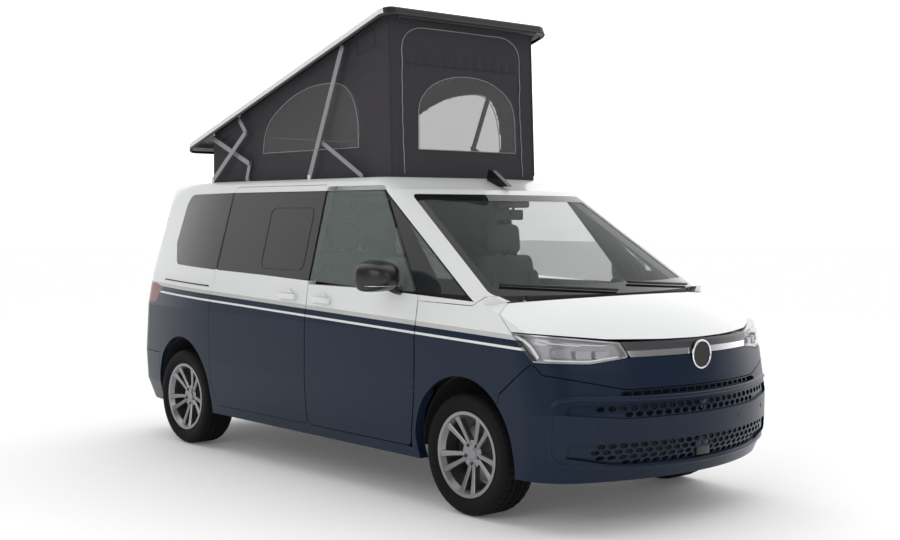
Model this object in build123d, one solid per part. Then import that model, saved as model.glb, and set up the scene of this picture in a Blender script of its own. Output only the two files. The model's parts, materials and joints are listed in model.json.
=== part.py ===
from build123d import *
import os
from math import sin, cos, tan, asin, atan2, radians, degrees, hypot

os.makedirs("parts", exist_ok=True)

# Camper van with a raised pop-up roof. Millimetres, +X forward, +Y left, +Z up.
# Lengths along X are counted from the front axle and moved to the middle of the van at export.
WHEELBASE = 3124
LENGTH = 4973
NOSE_X = 955
TAIL_X = NOSE_X - LENGTH
FRONT_AXLE_X = LENGTH / 2 - NOSE_X
WALL = 60
SKIN = 20
ROOF_TOP = 1925
ROOF_THICK = 40
BELT_Z = 1240
HEADER_Z = 1845
SHUT_GAP = 3
FLOOR_LOW = 392
FLOOR_TOP = 436

# Wheels and arches
WHEEL_Y = 815
TYRE_R = 346
TYRE_W = 240
RIM_R = 229
AXLE_Z = TYRE_R
ARCH_R = 410
ARCH_Z = 380
ARCH_IN_FRONT = 470
ARCH_IN_REAR = 640
KINGPIN_Y = 735
STUB_R = 34

# Plan outline arcs shared by every height
TAIL_BOW_R = 4500
TAIL_CORNER_R = 250
TAPER_R = 5600
TAPER_DEG = 10.3

# Pop-up roof: the lid swings on a line behind the tail
LID_AXIS_X = -4089.6
LID_AXIS_Z = 1955
LID_TILT = 17.66
LID_REAR = -3420
LID_FRONT = -837
LID_HALF = 722
LID_RIM = 10
LID_HIGH = 55
LID_SKIN = 12
LID_CAVITY = LID_HIGH - LID_SKIN

# Roof linkage pins in side view, raised
PIN_Z = 1945
ARM_FOOT = (-1846, PIN_Z)
ARM_TOP = (-1482, 2769.7)
LINK_ON_ARM = 257
LINK_END = (-1289, 1940)
BAR_A_BASE = (-3090, PIN_Z)
BAR_A_TOP = (-2655, 2268)
LID_PIN_A = (-2747.3, 2369.8)
BAR_B_LOW = (-2655, 2060)
BAR_B_BASE = (-2694, PIN_Z)
LID_PIN_B = (-3125.8, 2249.3)
BAR_T = 6
PLANE_A = 690
PLANE_A2 = 676
PLANE_B = 662
PLANE_B2 = 648
PIN_R = 5
PIN_PLAY = 0.05

# Heights of the lower body: height, nose, half width, tail
LOWER = [
    dict(z=200, nose=845, half=911, tail=-3918),
    dict(z=270, nose=880, half=925, tail=-3950),
    dict(z=420, nose=955, half=955, tail=-4018),
    dict(z=640, nose=955, half=970, tail=-4018),
    dict(z=1000, nose=893, half=968, tail=-3985),
    dict(z=1240, nose=800, half=938, tail=-3955),
    dict(z=1300, nose=777, half=930.5, tail=-3947.5),
]
# Heights of the glasshouse and of the roof
UPPER = [
    dict(z=1100, nose=639, half=972.6, tail=-3972.8),
    dict(z=1240, nose=400, half=938, tail=-3955),
    dict(z=1845, nose=-634, half=788.3, tail=-3878),
    dict(z=1950, nose=-813, half=763, tail=-3865),
]
# The roof's rounded edge: height, front, half width, rear
ROOF_EDGE = [
    dict(z=1864, nose=-695, half=783.6, tail=-3868),
    dict(z=1895, nose=-775, half=768, tail=-3850),
    dict(z=1917, nose=-835, half=741, tail=-3825),
    dict(z=1925, nose=-900, half=706, tail=-3790),
]
COWL_X = -1240
SCREEN_R = 1640
COWL_R = 1690
LOWER_BOW = 1720
LOWER_CORNER = 300


def between(rows, z):
    for low, high in zip(rows, rows[1:]):
        if low["z"] <= z <= high["z"]:
            t = (z - low["z"]) / (high["z"] - low["z"])
            return {k: low[k] + t * (high[k] - low[k]) for k in low}
    raise ValueError(z)


def upper_arcs(z):
    t = min(max((z - BELT_Z) / (HEADER_Z - BELT_Z), 0), 1)
    return 1640 + 260 * t, 120 - 20 * t


def plan_wire(row, bow, corner, inset):
    nose, half, tail = row["nose"] - inset, row["half"] - inset, row["tail"] + inset
    bow, corner = bow - inset, max(corner - inset, 30)
    tail_bow, tail_corner, taper = TAIL_BOW_R - inset, TAIL_CORNER_R - inset, TAPER_R - inset
    z = row["z"]
    phi = asin((half - corner) / (bow - corner))
    bow_x = nose - bow
    corner_x = bow_x + (bow - corner) * cos(phi)
    corner_y = half - corner
    tau = radians(TAPER_DEG)
    back_y = half - taper + (taper - tail_corner) * cos(tau)
    psi = asin(back_y / (tail_bow - tail_corner))
    tail_cx = tail + tail_bow
    back_x = tail_cx - (tail_bow - tail_corner) * cos(psi)
    taper_x = back_x + (taper - tail_corner) * sin(tau)

    def on(cx, cy, r, angle):
        return (cx + r * cos(angle), cy + r * sin(angle))

    quarter = radians(90)
    p1 = on(bow_x, 0, bow, phi)
    m12 = on(corner_x, corner_y, corner, (phi + quarter) / 2)
    p2 = (corner_x, half)
    p3 = (taper_x, half)
    m34 = on(taper_x, half - taper, taper, quarter + tau / 2)
    p4 = on(taper_x, half - taper, taper, quarter + tau)
    m45 = on(back_x, back_y, tail_corner, (quarter + tau + 2 * quarter - psi) / 2)
    p5 = on(tail_cx, 0, tail_bow, 2 * quarter - psi)

    def left(p):
        return (p[0], p[1], z)

    def right(p):
        return (p[0], -p[1], z)

    edges = [
        ThreePointArc(left(p1), left(m12), left(p2)),
        Line(left(p2), left(p3)),
        ThreePointArc(left(p3), left(m34), left(p4)),
        ThreePointArc(left(p4), left(m45), left(p5)),
        ThreePointArc(left(p5), (tail, 0, z), right(p5)),
        ThreePointArc(right(p5), right(m45), right(p4)),
        ThreePointArc(right(p4), right(m34), right(p3)),
        Line(right(p3), right(p2)),
        ThreePointArc(right(p2), right(m12), right(p1)),
        ThreePointArc(right(p1), (nose, 0, z), left(p1)),
    ]
    return Wire(edges)


def lower_form(inset, low=270, high=BELT_Z):
    heights = [low] + [r["z"] for r in LOWER if low < r["z"] < high] + [high]
    wires = [plan_wire(between(LOWER, z), LOWER_BOW, LOWER_CORNER, inset) for z in heights]
    return Solid.make_loft(wires, True)


def upper_wire(z, inset):
    bow, corner = upper_arcs(z)
    return plan_wire(between(UPPER, z), bow, corner, inset)


def glasshouse_form(inset, low=BELT_Z, high=HEADER_Z):
    heights = [low] + [z for z in (BELT_Z, HEADER_Z) if low < z < high] + [high]
    return Solid.make_loft([upper_wire(z, inset) for z in heights], True)


def roof_form(inset, top=ROOF_TOP):
    if inset == 0:
        rows = [between(UPPER, HEADER_Z), *ROOF_EDGE]
        return Solid.make_loft([plan_wire(row, *upper_arcs(row["z"]), 0) for row in rows], False)
    lid = dict(ROOF_EDGE[-1], z=top)
    wires = [upper_wire(HEADER_Z - 40, inset), plan_wire(lid, *upper_arcs(top), inset)]
    return Solid.make_loft(wires, True)


def above_bonnet(drop, ring):
    # The bonnet's top is an arc swept round the same centre as the nose, in front of the cowl
    start, mid, end = (250, 1281 - drop), (620, 1170 - drop), (896, 1008 - drop)
    arc = ThreePointArc((start[0], 0, start[1]), (mid[0], 0, mid[1]), (end[0], 0, end[1]))
    rest = Polyline((end[0], 0, end[1]), (1400, 0, end[1]), (1400, 0, 1500), (start[0], 0, 1500),
                    (start[0], 0, start[1]))
    face = make_face([arc, *rest.edges()])
    pole = Axis((NOSE_X - LOWER_BOW, 0, 0), (0, 0, 1))
    return revolve(face.rotate(pole, -70), pole, 140) - cowl_round(ring)


def cowl_round(r, low=900, high=1600):
    return Pos(COWL_X, 0, (low + high) / 2) * Cylinder(r, high - low)


def rounded_face(points):
    # Closed outline of (a, b, corner radius)
    n = len(points)
    if sum(p[0] * q[1] - q[0] * p[1] for p, q in zip(points, points[1:] + points[:1])) < 0:
        points = points[::-1]
    edges, ends = [], []
    for i, (a, b, r) in enumerate(points):
        pa, pb = points[i - 1][:2], points[(i + 1) % n][:2]
        if r <= 0:
            ends.append(((a, b), None, (a, b)))
            continue
        la, lb = hypot(pa[0] - a, pa[1] - b), hypot(pb[0] - a, pb[1] - b)
        ua, ub = ((pa[0] - a) / la, (pa[1] - b) / la), ((pb[0] - a) / lb, (pb[1] - b) / lb)
        half = atan2(abs(ua[0] * ub[1] - ua[1] * ub[0]), ua[0] * ub[0] + ua[1] * ub[1]) / 2
        cut = r / tan(half)
        mid_len = hypot(ua[0] + ub[0], ua[1] + ub[1])
        reach = r / sin(half) - r
        mid = (a + (ua[0] + ub[0]) / mid_len * reach, b + (ua[1] + ub[1]) / mid_len * reach)
        ends.append(((a + ua[0] * cut, b + ua[1] * cut), mid, (a + ub[0] * cut, b + ub[1] * cut)))
    for i, (start, mid, end) in enumerate(ends):
        if mid:
            edges.append(ThreePointArc(start, mid, end))
        edges.append(Line(end, ends[(i + 1) % n][0]))
    face = Face(Wire(edges))
    return face if face.normal_at().Z > 0 else -face


def side_prism(points, y0=420, y1=1100):
    # Side-view outline (x, z, radius) extruded across the van
    return extrude(Plane((0, y1, 0), x_dir=(1, 0, 0), z_dir=(0, -1, 0)) * rounded_face(points), amount=y1 - y0)


def front_prism(points, x0=200, x1=1100):
    # Front-view outline (y, z, radius) extruded along the van
    return extrude(Plane((x0, 0, 0), x_dir=(0, 1, 0), z_dir=(1, 0, 0)) * rounded_face(points), amount=x1 - x0)


def plan_prism(points, z0, z1):
    return extrude(Plane((0, 0, z0)) * rounded_face(points), amount=z1 - z0)


def block(x0, x1, y0, y1, z0, z1):
    return Pos((x0 + x1) / 2, (y0 + y1) / 2, (z0 + z1) / 2) * Box(abs(x1 - x0), abs(y1 - y0), abs(z1 - z0))


def rod(start, end, r):
    axis = Vector(*end) - Vector(*start)
    return Solid.make_cylinder(r, axis.length, Plane(origin=start, z_dir=axis))


def across(x, z, y0, y1, r):
    return rod((x, min(y0, y1), z), (x, max(y0, y1), z), r)


def grown(points, by):
    # Outline moved outwards on every side by the shut gap
    area = sum(p[0] * q[1] - q[0] * p[1] for p, q in zip(points, points[1:] + points[:1]))
    side = 1 if area > 0 else -1
    out = []
    n = len(points)
    for i, (a, b, r) in enumerate(points):
        p, q = points[i - 1], points[(i + 1) % n]
        u = ((a - p[0]), (b - p[1]))
        v = ((q[0] - a), (q[1] - b))
        lu, lv = hypot(*u), hypot(*v)
        nu = (u[1] / lu * side, -u[0] / lu * side)
        nv = (v[1] / lv * side, -v[0] / lv * side)
        k = by / (1 + nu[0] * nv[0] + nu[1] * nv[1])
        out.append((a + (nu[0] + nv[0]) * k, b + (nu[1] + nv[1]) * k, max(r + by, 0) if r > 0 else 0))
    return out


def both(shape):
    return [shape, mirror(shape, Plane.XZ)]


def right_of(shape):
    return mirror(shape, Plane.XZ)


def biggest(shape):
    return max(shape.solids(), key=lambda s: s.volume)


LOW = lower_form(0) - above_bonnet(0, COWL_R)
UP = glasshouse_form(0)
TOP = roof_form(0)
LOW_SKIN = lower_form(SKIN, 200, 1300) - above_bonnet(SKIN, COWL_R - SKIN)
UP_SKIN = glasshouse_form(SKIN, 1100, 1950)
LOW_IN = lower_form(WALL, 200, 1300) - above_bonnet(30, COWL_R - WALL)
UP_IN = glasshouse_form(WALL, 1100, HEADER_Z)
TOP_IN = roof_form(WALL, ROOF_TOP - ROOF_THICK)


def layer(prism, form, inside):
    part = form & prism
    return [] if part is None else (part - inside).solids()


def joined(parts):
    whole = parts[0]
    for part in parts[1:]:
        whole = whole + part
    return whole


def wall(prism):
    # Full-thickness wall inside a cutting prism, from the sill to the roof
    pieces = layer(prism, LOW, LOW_IN) + layer(prism, UP, UP_IN) + layer(prism, TOP, TOP_IN)
    return joined(pieces)


# Side-view outlines: x, z, corner radius
FRONT_DOOR = [(-1512, 338, 45), (-1512, 1866, 25), (-915, 1866, 60), (-405, 1218, 40), (-408, 1060, 0),
              (-410, 640, 0), (-465, 338, 45)]
FRONT_GLASS = [(-1505, 1264, 8), (-1505, 1838, 12), (-914, 1838, 40), (-432, 1226, 20)]
FRONT_VIEW = [(-1345, 1290, 40), (-1425, 1812, 40), (-925, 1812, 50), (-505, 1272, 50)]
SLIDE_DOOR = [(-1520, 338, 45), (-2624, 338, 30), (-2690, 495, 0), (-2706, 1040, 0), (-2668, 1288, 0),
              (-2640, 1880, 50), (-1520, 1880, 25)]
SLIDE_GLASS = [(-1524, 1268, 0), (-2660, 1296, 0), (-2640, 1838, 0), (-1524, 1838, 0)]
SLIDE_VIEW = [(-1590, 1300, 60), (-2590, 1325, 60), (-2580, 1805, 60), (-1590, 1805, 60)]
REAR_GLASS = [(-2682, 1296, 8), (-3300, 1318, 60), (-3385, 1480, 60), (-3330, 1835, 110), (-2656, 1842, 12)]
REAR_VIEW = [(-2740, 1325, 60), (-3270, 1345, 60), (-3335, 1480, 60), (-3290, 1800, 90), (-2720, 1805, 60)]
TRI_GLASS = [(-858, 1802, 8), (-388, 1222, 10), (60, 1210, 10)]
TRI_VIEW = [(-640, 1660, 25), (-290, 1290, 35), (-95, 1285, 35)]
FENDER = [(-395, 1190, 0), (-30, 1184, 0), (72, 1184, 0), (188, 1245, 0), (394, 1060, 0), (402, 1056, 0), (551, 912, 0),
          (316, 728, 0), (200, 330, 0), (-456, 330, 0), (-400, 640, 0), (-398, 1060, 0)]
SIDE_FRAME = [(-4100, 646, 0), (-3520, 646, 0), (-3520, 255, 0), (-340, 255, 0), (-340, 329, 0), (-490, 329, 0),
              (-450, 640, 0), (-440, 1060, 0), (-440, 1193, 0), (70, 1188, 0), (186, 1249, 0), (260, 1300, 0),
              (-500, 1960, 0), (-4100, 1960, 0)]
TAIL_LAMP = [(-3490, 1142, 10), (-3620, 1020, 15), (-4100, 1005, 5), (-4100, 1165, 5), (-3640, 1165, 15)]

# Front-view outlines: y, z, corner radius
SCREEN = [(-872, 1240.6, 25), (872, 1240.6, 25), (724, 1815, 40), (-724, 1815, 40)]
LAMP = [(545, 1012, 12), (500, 932, 12), (718, 904, 40), (951, 912, 8), (990, 1062, 8)]
BAR = [(-495, 933, 6), (495, 933, 6), (538, 1012, 6), (-538, 1012, 6)]
NOSE_PANEL = [(-948, 908, 0), (-926, 850, 0), (-545, 768, 0), (545, 768, 0), (926, 850, 0), (948, 908, 0),
              (718, 900, 30), (497, 929, 0), (-497, 929, 0), (-718, 900, 30)]
BONNET_LINE = [(-1000, 1069, 0), (-601, 1030, 0), (-275, 1021, 0), (0, 1018, 0), (275, 1021, 0), (601, 1030, 0),
               (1000, 1069, 0), (1000, 1400, 0), (-1000, 1400, 0)]
BUMPER = [(-1000, 262, 0), (1000, 262, 0), (1000, 905, 0), (951, 905, 0), (929, 845, 0), (545, 763, 0), (-545, 763, 0),
          (-929, 845, 0), (-951, 905, 0), (-1000, 905, 0)]
BUMPER_SIDE = [(321, 722, 0), (553, 906, 0), (1100, 908, 0), (1100, 255, 0), (150, 255, 0)]
SLOT = [(-620, 726, 10), (620, 726, 10), (560, 758, 10), (-560, 758, 10)]
UPPER_GRILLE = [(-540, 612, 10), (540, 612, 10), (866, 642, 10), (846, 690, 12), (-846, 690, 12), (-866, 642, 10)]
LOWER_GRILLE = [(-560, 356, 20), (560, 356, 20), (862, 416, 12), (848, 488, 16), (-848, 488, 16), (-862, 416, 12)]

arch_front = across(0, ARCH_Z, ARCH_IN_FRONT, 1100, ARCH_R)
arch_rear = across(-WHEELBASE, ARCH_Z, ARCH_IN_REAR, 1100, ARCH_R)
screen_prism = front_prism(SCREEN, -900, 500)
screen_gap = front_prism(grown(SCREEN, 0.5), -900, 500)
tail_box = block(-4200, -3640, -640, 640, 652, 1838)
tail_gap = block(-4200, -3640, -647, 647, 645, 1845)
roof_box = block(-3950, -560, -711.5, 711.5, 1780, 2000)
roof_gap = block(-3950, -560, -712, 712, 1780, 2000)

nodes = {}
glass_outer = glasshouse_form(0.8)
glass_back = glasshouse_form(7.5, 1100, 1950)
pocket_outer = glasshouse_form(-5)
pocket_back = glasshouse_form(8, 1100, 1950)


def glazed(panel, glass, view, y0=420):
    # Flush-bonded pane: a recess in the panel, a see-through hole, and the pane itself
    pocket = (pocket_outer & side_prism(grown(glass, 0.5), y0)) - pocket_back
    panel = panel - pocket
    panel = panel - side_prism(view, y0)
    return panel, biggest((glass_outer & side_prism(glass, y0)) - glass_back)


# Front door: full skin, the inner frame stepped back at its rear edge so that it can swing
front_door = wall(side_prism(FRONT_DOOR))
behind = side_prism([(-1487, 250, 0), (-1487, 1950, 0), (-1560, 1950, 0), (-1560, 250, 0)])
front_door = front_door - (LOW_SKIN & behind) - (UP_SKIN & behind)
front_door = front_door - block(-3950, -300, -718, 718, 1780, 2000)
front_door, front_glass = glazed(biggest(front_door), FRONT_GLASS, FRONT_VIEW)
slide_door = biggest(wall(side_prism(SLIDE_DOOR)) - roof_gap) - arch_rear
slide_door, slide_glass = glazed(slide_door, SLIDE_GLASS, SLIDE_VIEW)

side = wall(side_prism(SIDE_FRAME, 300))
side = side - side_prism(grown(FRONT_DOOR, 5), 300) - side_prism(grown(SLIDE_DOOR, SHUT_GAP), 300)
side = side - roof_gap - tail_gap - screen_gap - arch_rear - arch_front
side = side - side_prism(TAIL_LAMP, 300)
side, rear_glass = glazed(side, REAR_GLASS, REAR_VIEW)
side, tri_glass = glazed(side, TRI_GLASS, TRI_VIEW)

fender_prism = side_prism(FENDER)
fender = biggest(((LOW & fender_prism) - LOW_SKIN) - arch_front)
tail_lamp = biggest(wall(side_prism(grown(TAIL_LAMP, -0.5), 648)))

roof = biggest(wall(roof_box) - tail_gap - screen_gap)
ROOF_HOLE = [(-3160, -590, 90), (-1060, -590, 90), (-1060, 590, 90), (-3160, 590, 90)]
roof = roof - plan_prism(ROOF_HOLE, 1700, 2100)

windscreen = biggest((glasshouse_form(1) & screen_prism) - glasshouse_form(13, 1100, 1950))
side_keep = side_prism(grown(SIDE_FRAME, 0.5), 300)
fender_keep = side_prism(grown(FENDER, 0.5), 300)
cowl = (LOW & (cowl_round(COWL_R) - cowl_round(SCREEN_R - 40)) & block(-100, 600, -872, 872, 1100, 1245)) - LOW_IN
cowl = biggest(cowl - side_keep - right_of(side_keep) - fender_keep - right_of(fender_keep))
# A step along the cowl's front edge leaves room for the opening bonnet
cowl = biggest(cowl - (block(-100, 600, -900, 900, 1210, 1300) - cowl_round(SCREEN_R)))

bonnet_side = [side_prism(grown(cut, 6), 300) for cut in (SIDE_FRAME, FENDER)]
bonnet = ((LOW & front_prism(BONNET_LINE, -100, 1100)) - LOW_IN) - cowl_round(COWL_R + 7)
for cut in bonnet_side:
    bonnet = bonnet - cut - right_of(cut)
bonnet = biggest(bonnet)

badge_hole = rod((820, 0, 924), (960, 0, 924), 81)
lamp = biggest(((LOW & front_prism(LAMP, 350)) - lower_form(5, 200, 1300)) - fender_keep)
lamp_bowl = front_prism(grown(LAMP, -7), 350)
lamp_unit = (lower_form(40, 200, 1300) & front_prism(LAMP, 350)) - LOW_IN - fender_keep
lamp_unit = lamp_unit + ((lower_form(5.3, 200, 1300) & front_prism(LAMP, 350)) - lamp_bowl - lower_form(42, 200, 1300) - fender_keep)
# Light blocks in each headlamp: y, z, width, height, depth of the face below the lens
LIGHT_BLOCKS = ((640, 948, 74, 40, 14), (740, 950, 74, 42, 14), (838, 960, 62, 44, 14))
for y, z, wide, high, deep in LIGHT_BLOCKS:
    lens_box = front_prism([(y - wide / 2, z - high / 2, 8), (y + wide / 2, z - high / 2, 8), (y + wide / 2, z + high / 2, 8),
                            (y - wide / 2, z + high / 2, 8)], 350)
    lamp_unit = lamp_unit + ((lower_form(deep, 200, 1300) & lens_box) - lower_form(45, 200, 1300) - fender_keep)
lamp_unit = biggest(lamp_unit)
light_bar = biggest(((LOW & front_prism(BAR, 350)) - LOW_IN) - badge_hole)
nose_panel = ((LOW & front_prism(NOSE_PANEL, 350)) - LOW_IN) - fender_keep - right_of(fender_keep) - badge_hole
nose_panel = biggest(nose_panel)
badge = rod((838, 0, 924), (914, 0, 924), 80.5)

front_bumper = ((LOW & front_prism(BUMPER, 100) & side_prism(BUMPER_SIDE, -1100)) - LOW_IN)
for hole in (SLOT, UPPER_GRILLE, LOWER_GRILLE):
    front_bumper = front_bumper - front_prism(hole, 480)
front_bumper = biggest(front_bumper - arch_front - right_of(arch_front))
grille_face, grille_back = lower_form(16), lower_form(28, 200, 1300)
grilles = [biggest((grille_face & front_prism(grown(hole, -0.4), 480)) - grille_back)
           for hole in (SLOT, UPPER_GRILLE, LOWER_GRILLE)]


# Grille cells: number across, pitch across, first row's height, rows, pitch up, cell width, cell height
CELLS = ((18, 62, 742, 1, 0, 50, 20), (24, 62, 633, 2, 33, 52, 27), (24, 62, 378, 4, 30, 52, 24))
for i, (count, pitch, low, rows, rise, wide, high) in enumerate(CELLS):
    cuts = []
    for row in range(rows):
        for k in range(count):
            y = (k - (count - 1) / 2 + row % 2 / 2) * pitch
            z = low + row * rise
            slope = 612 + max(0, abs(y) - 540) * 0.092 if i == 1 else 356 + max(0, abs(y) - 560) * 0.2
            if i and (abs(y) > 812 or z - high / 2 < slope + 6):
                continue
            if not i and abs(y) > 540:
                continue
            tip = wide / 4 if i else 0
            cuts.append(Polyline((y - wide / 2, z), (y - wide / 2 + tip, z - high / 2), (y + wide / 2 - tip, z - high / 2),
                                 (y + wide / 2, z), (y + wide / 2 - tip, z + high / 2), (y - wide / 2 + tip, z + high / 2),
                                 close=True))
    front = Plane((480, 0, 0), x_dir=(0, 1, 0), z_dir=(1, 0, 0))
    holes = [extrude(front * make_face(c), amount=520) for c in cuts]
    grilles[i] = biggest(grilles[i] - holes)

REAR_BUMPER = [(-4100, 255, 0), (-3524, 255, 0), (-3524, 641, 0), (-4100, 641, 0)]
rear_bumper = biggest(((LOW & side_prism(REAR_BUMPER, -1100)) - LOW_IN) - arch_rear - right_of(arch_rear))

tailgate = biggest(wall(tail_box))
TAIL_GLASS = [(-560, 1246, 60), (560, 1246, 60), (540, 1760, 70), (-540, 1760, 70)]
TAIL_VIEW = [(-520, 1286, 60), (520, 1286, 60), (500, 1720, 70), (-500, 1720, 70)]
tail_pane = front_prism(grown(TAIL_GLASS, 0.5), -4200, -3600)
tailgate = tailgate - ((pocket_outer & tail_pane) - pocket_back)
tailgate = tailgate - front_prism(TAIL_VIEW, -4200, -3600)
tail_glass = biggest((glass_outer & front_prism(TAIL_GLASS, -4200, -3600)) - glass_back)

# Hinges of the front doors, on the windscreen pillar's post
DOOR_AXIS = (-409, 964)
post_prism = side_prism([(-397, 1200, 0), (-300, 1200, 0), (-300, 329, 0), (-456, 329, 0), (-400, 640, 0),
                         (-398, 1060, 0)])
a_post = biggest(((lower_form(SKIN + 0.4, 200, 1300) & post_prism) - LOW_IN) - arch_front)
side = side + a_post
for z in (690, 970):
    pin = rod((*DOOR_AXIS, z - 30), (*DOOR_AXIS, z + 30), 3)
    arm = block(-413, -401, 934, 964, z - 7, z + 7) + block(-404, -370, 928, 945, z - 7, z + 7)
    side = side + arm + pin
    barrel = rod((*DOOR_AXIS, z - 30), (*DOOR_AXIS, z + 30), 5.5) + block(-440, -409, 940, 964, z - 30, z + 30)
    front_door = front_door + (barrel & block(-440, -400, 930, 970, z - 30, z + 30))
    front_door = front_door - (rod((*DOOR_AXIS, z - 12), (*DOOR_AXIS, z + 12), 34) & block(-500, -300, 900, 965, z - 20, z + 20))
    front_door = front_door - rod((*DOOR_AXIS, z - 12), (*DOOR_AXIS, z + 12), 7)
    front_door = front_door - rod((*DOOR_AXIS, z - 40), (*DOOR_AXIS, z + 40), 3 + PIN_PLAY)
front_door = biggest(front_door)
side = biggest(side)

# Bonnet hinges: lugs that swing in two slots of the cowl
BONNET_AXIS = (240, 1205)
for hand in (-1, 1):
    cowl = cowl - block(222, 340, hand * 694, hand * 718, 1000, 1400)
    cowl = cowl + (across(*BONNET_AXIS, hand * 688, hand * 724, 4) & block(200, 300, -900, 900, 1190, 1239))
    lug = across(*BONNET_AXIS, hand * 700, hand * 712, 9) + block(240, 318, hand * 700, hand * 712, 1186, 1203)
    bonnet = bonnet + (lug - across(*BONNET_AXIS, hand * 690, hand * 722, 4 + PIN_PLAY))
bonnet = biggest(bonnet)
cowl = biggest(cowl)

# Tailgate hinges under the roof's rear edge
TAIL_AXIS = (-3880, 1841.5)
for hand in (-1, 1):
    lo, hi = sorted((hand * 415, hand * 485))
    roof = roof - across(*TAIL_AXIS, lo, hi, 11)
    for y0, y1 in ((lo - 12, lo - 1), (hi + 1, hi + 12)):
        roof = roof + block(-3883, -3855, y0, y1, 1838.5, 1850)
    roof = roof + across(*TAIL_AXIS, lo - 8, hi + 8, 3)
    knuckle = across(*TAIL_AXIS, lo + 4, hi - 4, 6) + block(-3880, -3862, lo + 4, hi - 4, 1830, 1841)
    tailgate = tailgate + (knuckle - across(*TAIL_AXIS, lo, hi, 3 + PIN_PLAY))
roof = biggest(roof)
tailgate = biggest(tailgate)

# Door mirrors
mirror_left = fillet(block(-600, -470, 985, 1190, 1228, 1392).edges(), 56)
mirror_left = mirror_left + rod((-560, 915, 1232), (-545, 1030, 1262), 22)
mirror_left = biggest(mirror_left - glasshouse_form(0) - LOW)

# Floor, bulkhead, liners
floor = Solid.make_loft([plan_wire(between(LOWER, z), LOWER_BOW, LOWER_CORNER, WALL + 0.4)
                         for z in (FLOOR_LOW, FLOOR_TOP)], True)
floor = floor & block(-3900, 350, -900, 900, 300, 500)
bulkhead = (lower_form(WALL + 0.4, 200, 1300) & block(330, 350, -900, 900, FLOOR_LOW, 1170)) - above_bonnet(40, 1000)
floor = floor + bulkhead
for cut in (arch_front, arch_rear):
    floor = floor - cut - right_of(cut)
floor = biggest(floor)
liners = []
for x, y_in in ((0, ARCH_IN_FRONT), (-WHEELBASE, ARCH_IN_REAR)):
    tube = across(x, ARCH_Z, y_in, 890, ARCH_R - 0.4) - across(x, ARCH_Z, y_in + 4, 1000, ARCH_R - 5)
    tube = tube - block(x - 500, x + 500, 300, 1000, 0, 345)
    tube = tube - block(x - 180, x + 180, 300, y_in + 20, 0, 560)
    liners += both(biggest(tube))

# Underside: subframe, arms, rear axle, tank, engine
subframe = block(-160, 720, -340, 340, 250, 310)
for hand in (-1, 1):
    subframe = subframe + block(-30, 30, hand * 330, hand * 735, 250, 280)
    subframe = subframe + rod((0, hand * KINGPIN_Y, 246), (0, hand * KINGPIN_Y, 284), 22)
    subframe = subframe - rod((0, hand * KINGPIN_Y, 240), (0, hand * KINGPIN_Y, 290), 12 + PIN_PLAY)
    subframe = subframe + block(-160, -100, hand * 280, hand * 340, 300, FLOOR_LOW - 0.3)
engine = block(370, 760, -330, 330, 310.3, 900)
engine = fillet(engine.edges().filter_by(Axis.Z), 40)
tank = fillet(block(-1750, -850, -420, 420, 230, FLOOR_LOW - 0.3).edges().filter_by(Axis.Z), 60)
axle = rod((-WHEELBASE, -690, AXLE_Z), (-WHEELBASE, 690, AXLE_Z), 40)
axle = axle + rod((-WHEELBASE, -850, AXLE_Z), (-WHEELBASE, 850, AXLE_Z), STUB_R)
# Brake calliper, straddling the disc's rear edge
calliper = (across(0, AXLE_Z, 741, 806, 196) & block(-196, -92, 741, 806, AXLE_Z - 55, AXLE_Z + 55))
calliper = calliper - across(0, AXLE_Z, 757.5, 790.5, 171)
calliper = calliper + block(-140, -20, 735, 752, AXLE_Z - 35, AXLE_Z + 35)
axle = axle + Pos(-WHEELBASE, 0, 0) * calliper + Pos(-WHEELBASE, 0, 0) * right_of(calliper)
for hand in (-1, 1):
    axle = axle + rod((-WHEELBASE, hand * 690, AXLE_Z), (-WHEELBASE, hand * 752, AXLE_Z), 40)
for hand in (-1, 1):
    axle = axle + block(-WHEELBASE - 40, -2650, hand * 470, hand * 540, 310, 350)
    axle = axle + block(-2710, -2650, hand * 470, hand * 540, 310, FLOOR_LOW - 0.3)

# Steering knuckle with stub axle and strut
knuckle = rod((0, KINGPIN_Y, 244), (0, KINGPIN_Y, 300), 12)
knuckle = knuckle + block(-45, 45, 655, 752, 290, 430)
knuckle = knuckle + rod((0, 740, AXLE_Z), (0, 850, AXLE_Z), STUB_R)
knuckle = knuckle + rod((0, 664, 380), (0, 655, 765), 24) + calliper

# Wheel: revolved rim with barrel, hub, five pairs of spokes and a brake disc, axis along Y
RIM_PROFILE = [(-105, 214), (-105, 243), (-95, 243), (-92, 231), (-40, 214), (70, 214), (96, 231), (99, 243), (109, 243),
               (109, 224), (80, 206), (-40, 206), (-95, 214)]
rim_face = make_face(Polyline(*[(r, y, 0) for y, r in RIM_PROFILE], close=True))
rim = revolve(rim_face, Axis.Y, 360)
hub = rod((0, -52, 0), (0, 62, 0), 78)
disc = rod((0, -52, 0), (0, -30, 0), 165)
spokes = []
for i in range(5):
    for lean in (-12, 12):
        bar = loft([Plane((40, 40, 0), z_dir=(1, 0, 0)) * Rectangle(26, 44),
                    Plane((212, 70, 0), z_dir=(1, 0, 0)) * Rectangle(20, 26)])
        spokes.append(bar.rotate(Axis.Y, i * 72 + lean + 90))
wheel = rim + hub + disc
for bar in spokes:
    wheel = wheel + bar
wheel = biggest(wheel - rod((0, -60, 0), (0, 36, 0), STUB_R + 0.08))
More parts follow.
